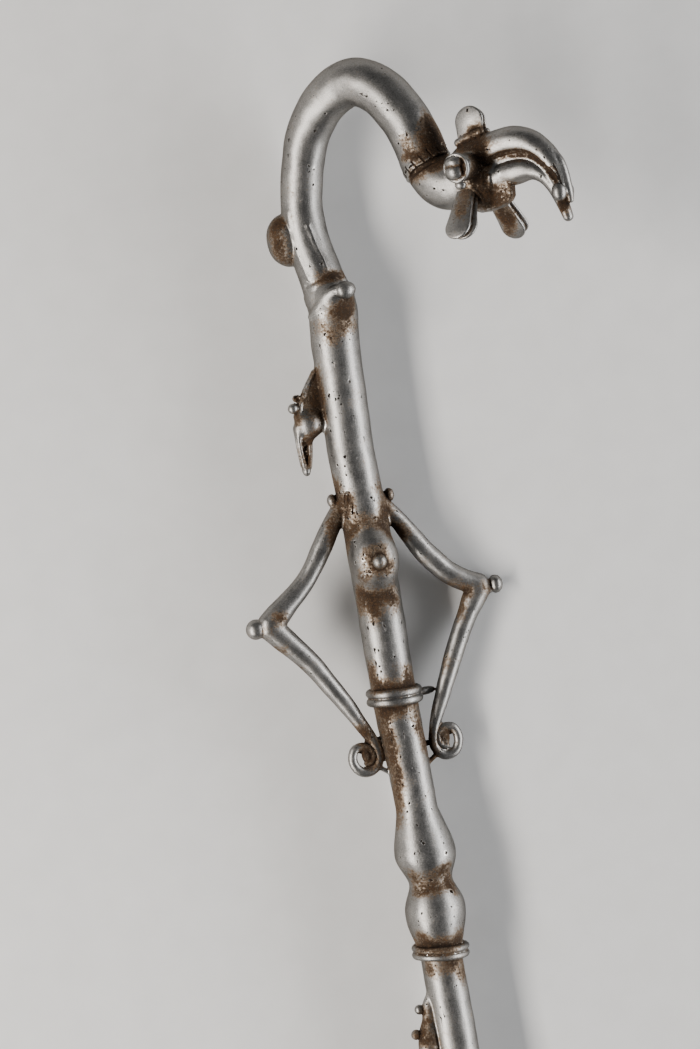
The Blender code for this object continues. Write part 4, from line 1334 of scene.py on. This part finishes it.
def cast_metal():
    """Satin white metal, pitted in the casting, with burial earth left in its hollows; its pits and narrow
    cuts are coloured near black as painted shade.
    """
    graph = Graph("worn_white_metal")
    place = graph.place()
    crease = graph.attribute("crease")
    cut = graph.attribute("cut")
    worn = graph.step(graph.attribute("worn"), 0.12, 0.5)
    broad = graph.noise(place, 30.0, 2.0)
    patch = graph.noise(place, 150.0, 4.0, 0.6)
    fine = graph.noise(place, 800.0, 3.0, 0.6)
    grain = graph.noise(place, 1700.0, 2.0, 0.7)
    tone = patch * 0.25 + broad * 0.20 + grain * 0.55
    metal = graph.ramp(tone, [(0.36, (0.17, 0.165, 0.158)), (0.5, (0.265, 0.257, 0.246)),
                              (0.64, (0.38, 0.369, 0.353))])
    metal = graph.blend(worn, metal, (0.54, 0.525, 0.497, 1.0))
    bent = graph.bent(place, 900.0, 0.0011)
    pit_size = graph.cells(bent, 440.0)
    pit_zone = graph.noise(place, 85.0, 2.0) * 0.7 + graph.noise(place, 260.0, 1.0) * 0.3
    # The earth attribute holds burial earth and also a few patches of dark brown painted shade in shadowed
    # hollows, so the earth mask below paints that shade too.
    earth_and_shade_amount = graph.attribute("earth")
    pit_here = graph.step(pit_zone + (crease + earth_and_shade_amount) * 0.2, 0.55, 0.60)
    small = graph.step(pit_size, 0.13, 0.21, 1.0, 0.0) * pit_here
    small = graph.sum("MAXIMUM", small, graph.step(cut, 0.25, 0.7))
    unevenness = (patch - 0.5) * 1.2 + (fine - 0.5) * 1.3 + (grain - 0.5) * 0.8
    level = earth_and_shade_amount + crease * 0.6 + unevenness - worn * 0.3
    earth = graph.step(level, 0.62, 1.0)
    stain = graph.step(level + (broad - 0.5) * 0.5, 0.12, 0.74)
    soil_tone = fine * 0.45 + patch * 0.25 + grain * 0.30 - level * 0.10
    colour = graph.ramp(soil_tone, [(0.27, (0.006, 0.0032, 0.0017)), (0.39, (0.020, 0.0105, 0.0052)),
                                    (0.52, (0.088, 0.048, 0.023))])
    brown = graph.blend(graph.step(grain, 0.42, 0.6), (0.085, 0.052, 0.027, 1.0), (0.20, 0.135, 0.080, 1.0))
    stained = graph.blend(stain * 0.85, metal, brown)
    # Painted shade: pits and carved cuts are coloured near black.
    dark = graph.blend(small, stained, (0.010, 0.007, 0.005, 1.0))
    graph.feed(graph.shader.inputs["Base Color"], graph.blend(earth, dark, colour))
    bare = (1 - earth) * (1 - small)
    graph.feed(graph.shader.inputs["Metallic"], bare)
    satin = 0.40 + (patch - 0.5) * 0.20 + (grain - 0.5) * 0.30 + stain * 0.14 - worn * 0.06
    graph.feed(graph.shader.inputs["Roughness"], satin * bare + (1 - bare) * 0.85)
    graph.shader.inputs["Specular Tint"].default_value = (0.40, 0.38, 0.36, 1.0)
    height = grain * 0.45 + fine * 0.25 + patch * 0.25 + small * -1.0 + earth * (fine * 1.6 + 0.3)
    graph.feed(graph.shader.inputs["Normal"], graph.bumped(height, 0.5, 0.00025))
    return graph.material


def floor_material():
    """A plain pale floor."""
    graph = Graph("pale_floor")
    speck = graph.noise(graph.place(), 60.0, 3.0)
    tone = graph.ramp(speck, [(0.3, (0.70, 0.697, 0.69)), (0.7, (0.735, 0.732, 0.725))])
    graph.feed(graph.shader.inputs["Base Color"], tone)
    graph.shader.inputs["Roughness"].default_value = 0.75
    return graph.material


surface.data.materials.clear()
surface.data.materials.append(cast_metal())
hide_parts(node_name)
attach(surface, "root")


# The floor, the light and the camera

def make_floor():
    """A wide flat floor under the staff."""
    mesh = bpy.data.meshes.new("floor")
    working = bmesh.new()
    bmesh.ops.create_grid(working, x_segments=1, y_segments=1, size=4.0)
    working.to_mesh(mesh)
    working.free()
    floor = bpy.data.objects.new("floor", mesh)
    floor.location = (0, 0, -0.0005)
    mesh.materials.append(floor_material())
    bpy.context.scene.collection.objects.link(floor)


def add_light(name, place, aim, width, length, power, colour):
    """A long soft light at a place, facing another."""
    data = bpy.data.lights.new(name, "AREA")
    data.shape = "RECTANGLE"
    data.size = width
    data.size_y = length
    data.energy = power
    data.color = colour
    light = bpy.data.objects.new(name, data)
    bpy.context.scene.collection.objects.link(light)
    back = (Vector(place) - Vector(aim)).normalized()
    along = Vector((0, 1, 0))
    across = along.cross(back).normalized()
    turn = Matrix((across, back.cross(across), back)).transposed()
    light.matrix_world = Matrix.Translation(place) @ turn.to_4x4()


def make_light():
    """Two long soft lights beside the staff, and a low even light from all round."""
    middle = (0.0, 0.2, 0.02)
    add_light("left_light", (-1.15, 0.12, 0.85), middle, 0.26, 1.9, 42.0, (1.0, 0.955, 0.90))
    add_light("right_light", (1.30, 0.12, 0.45), middle, 0.40, 1.9, 32.0, (0.985, 0.99, 1.0))
    world = bpy.data.worlds.new("studio")
    world.use_nodes = True
    world.node_tree.nodes["Background"].inputs["Color"].default_value = (0.11, 0.112, 0.115, 1.0)
    world.node_tree.nodes["Background"].inputs["Strength"].default_value = 1.0
    bpy.context.scene.world = world


def make_camera():
    """The photo's view of the staff."""
    data = bpy.data.cameras.new("camera")
    data.sensor_fit = "VERTICAL"
    data.sensor_height = film_height
    data.lens = focal_pixels / photo_height * film_height
    camera = bpy.data.objects.new("camera", data)
    bpy.context.scene.collection.objects.link(camera)
    turn = Matrix(camera_axes()).transposed()
    place = Vector(camera_place) * MM + origin
    camera.matrix_world = Matrix.Translation(place) @ turn.to_4x4()
    bpy.context.scene.camera = camera


make_floor()
make_light()
make_camera()
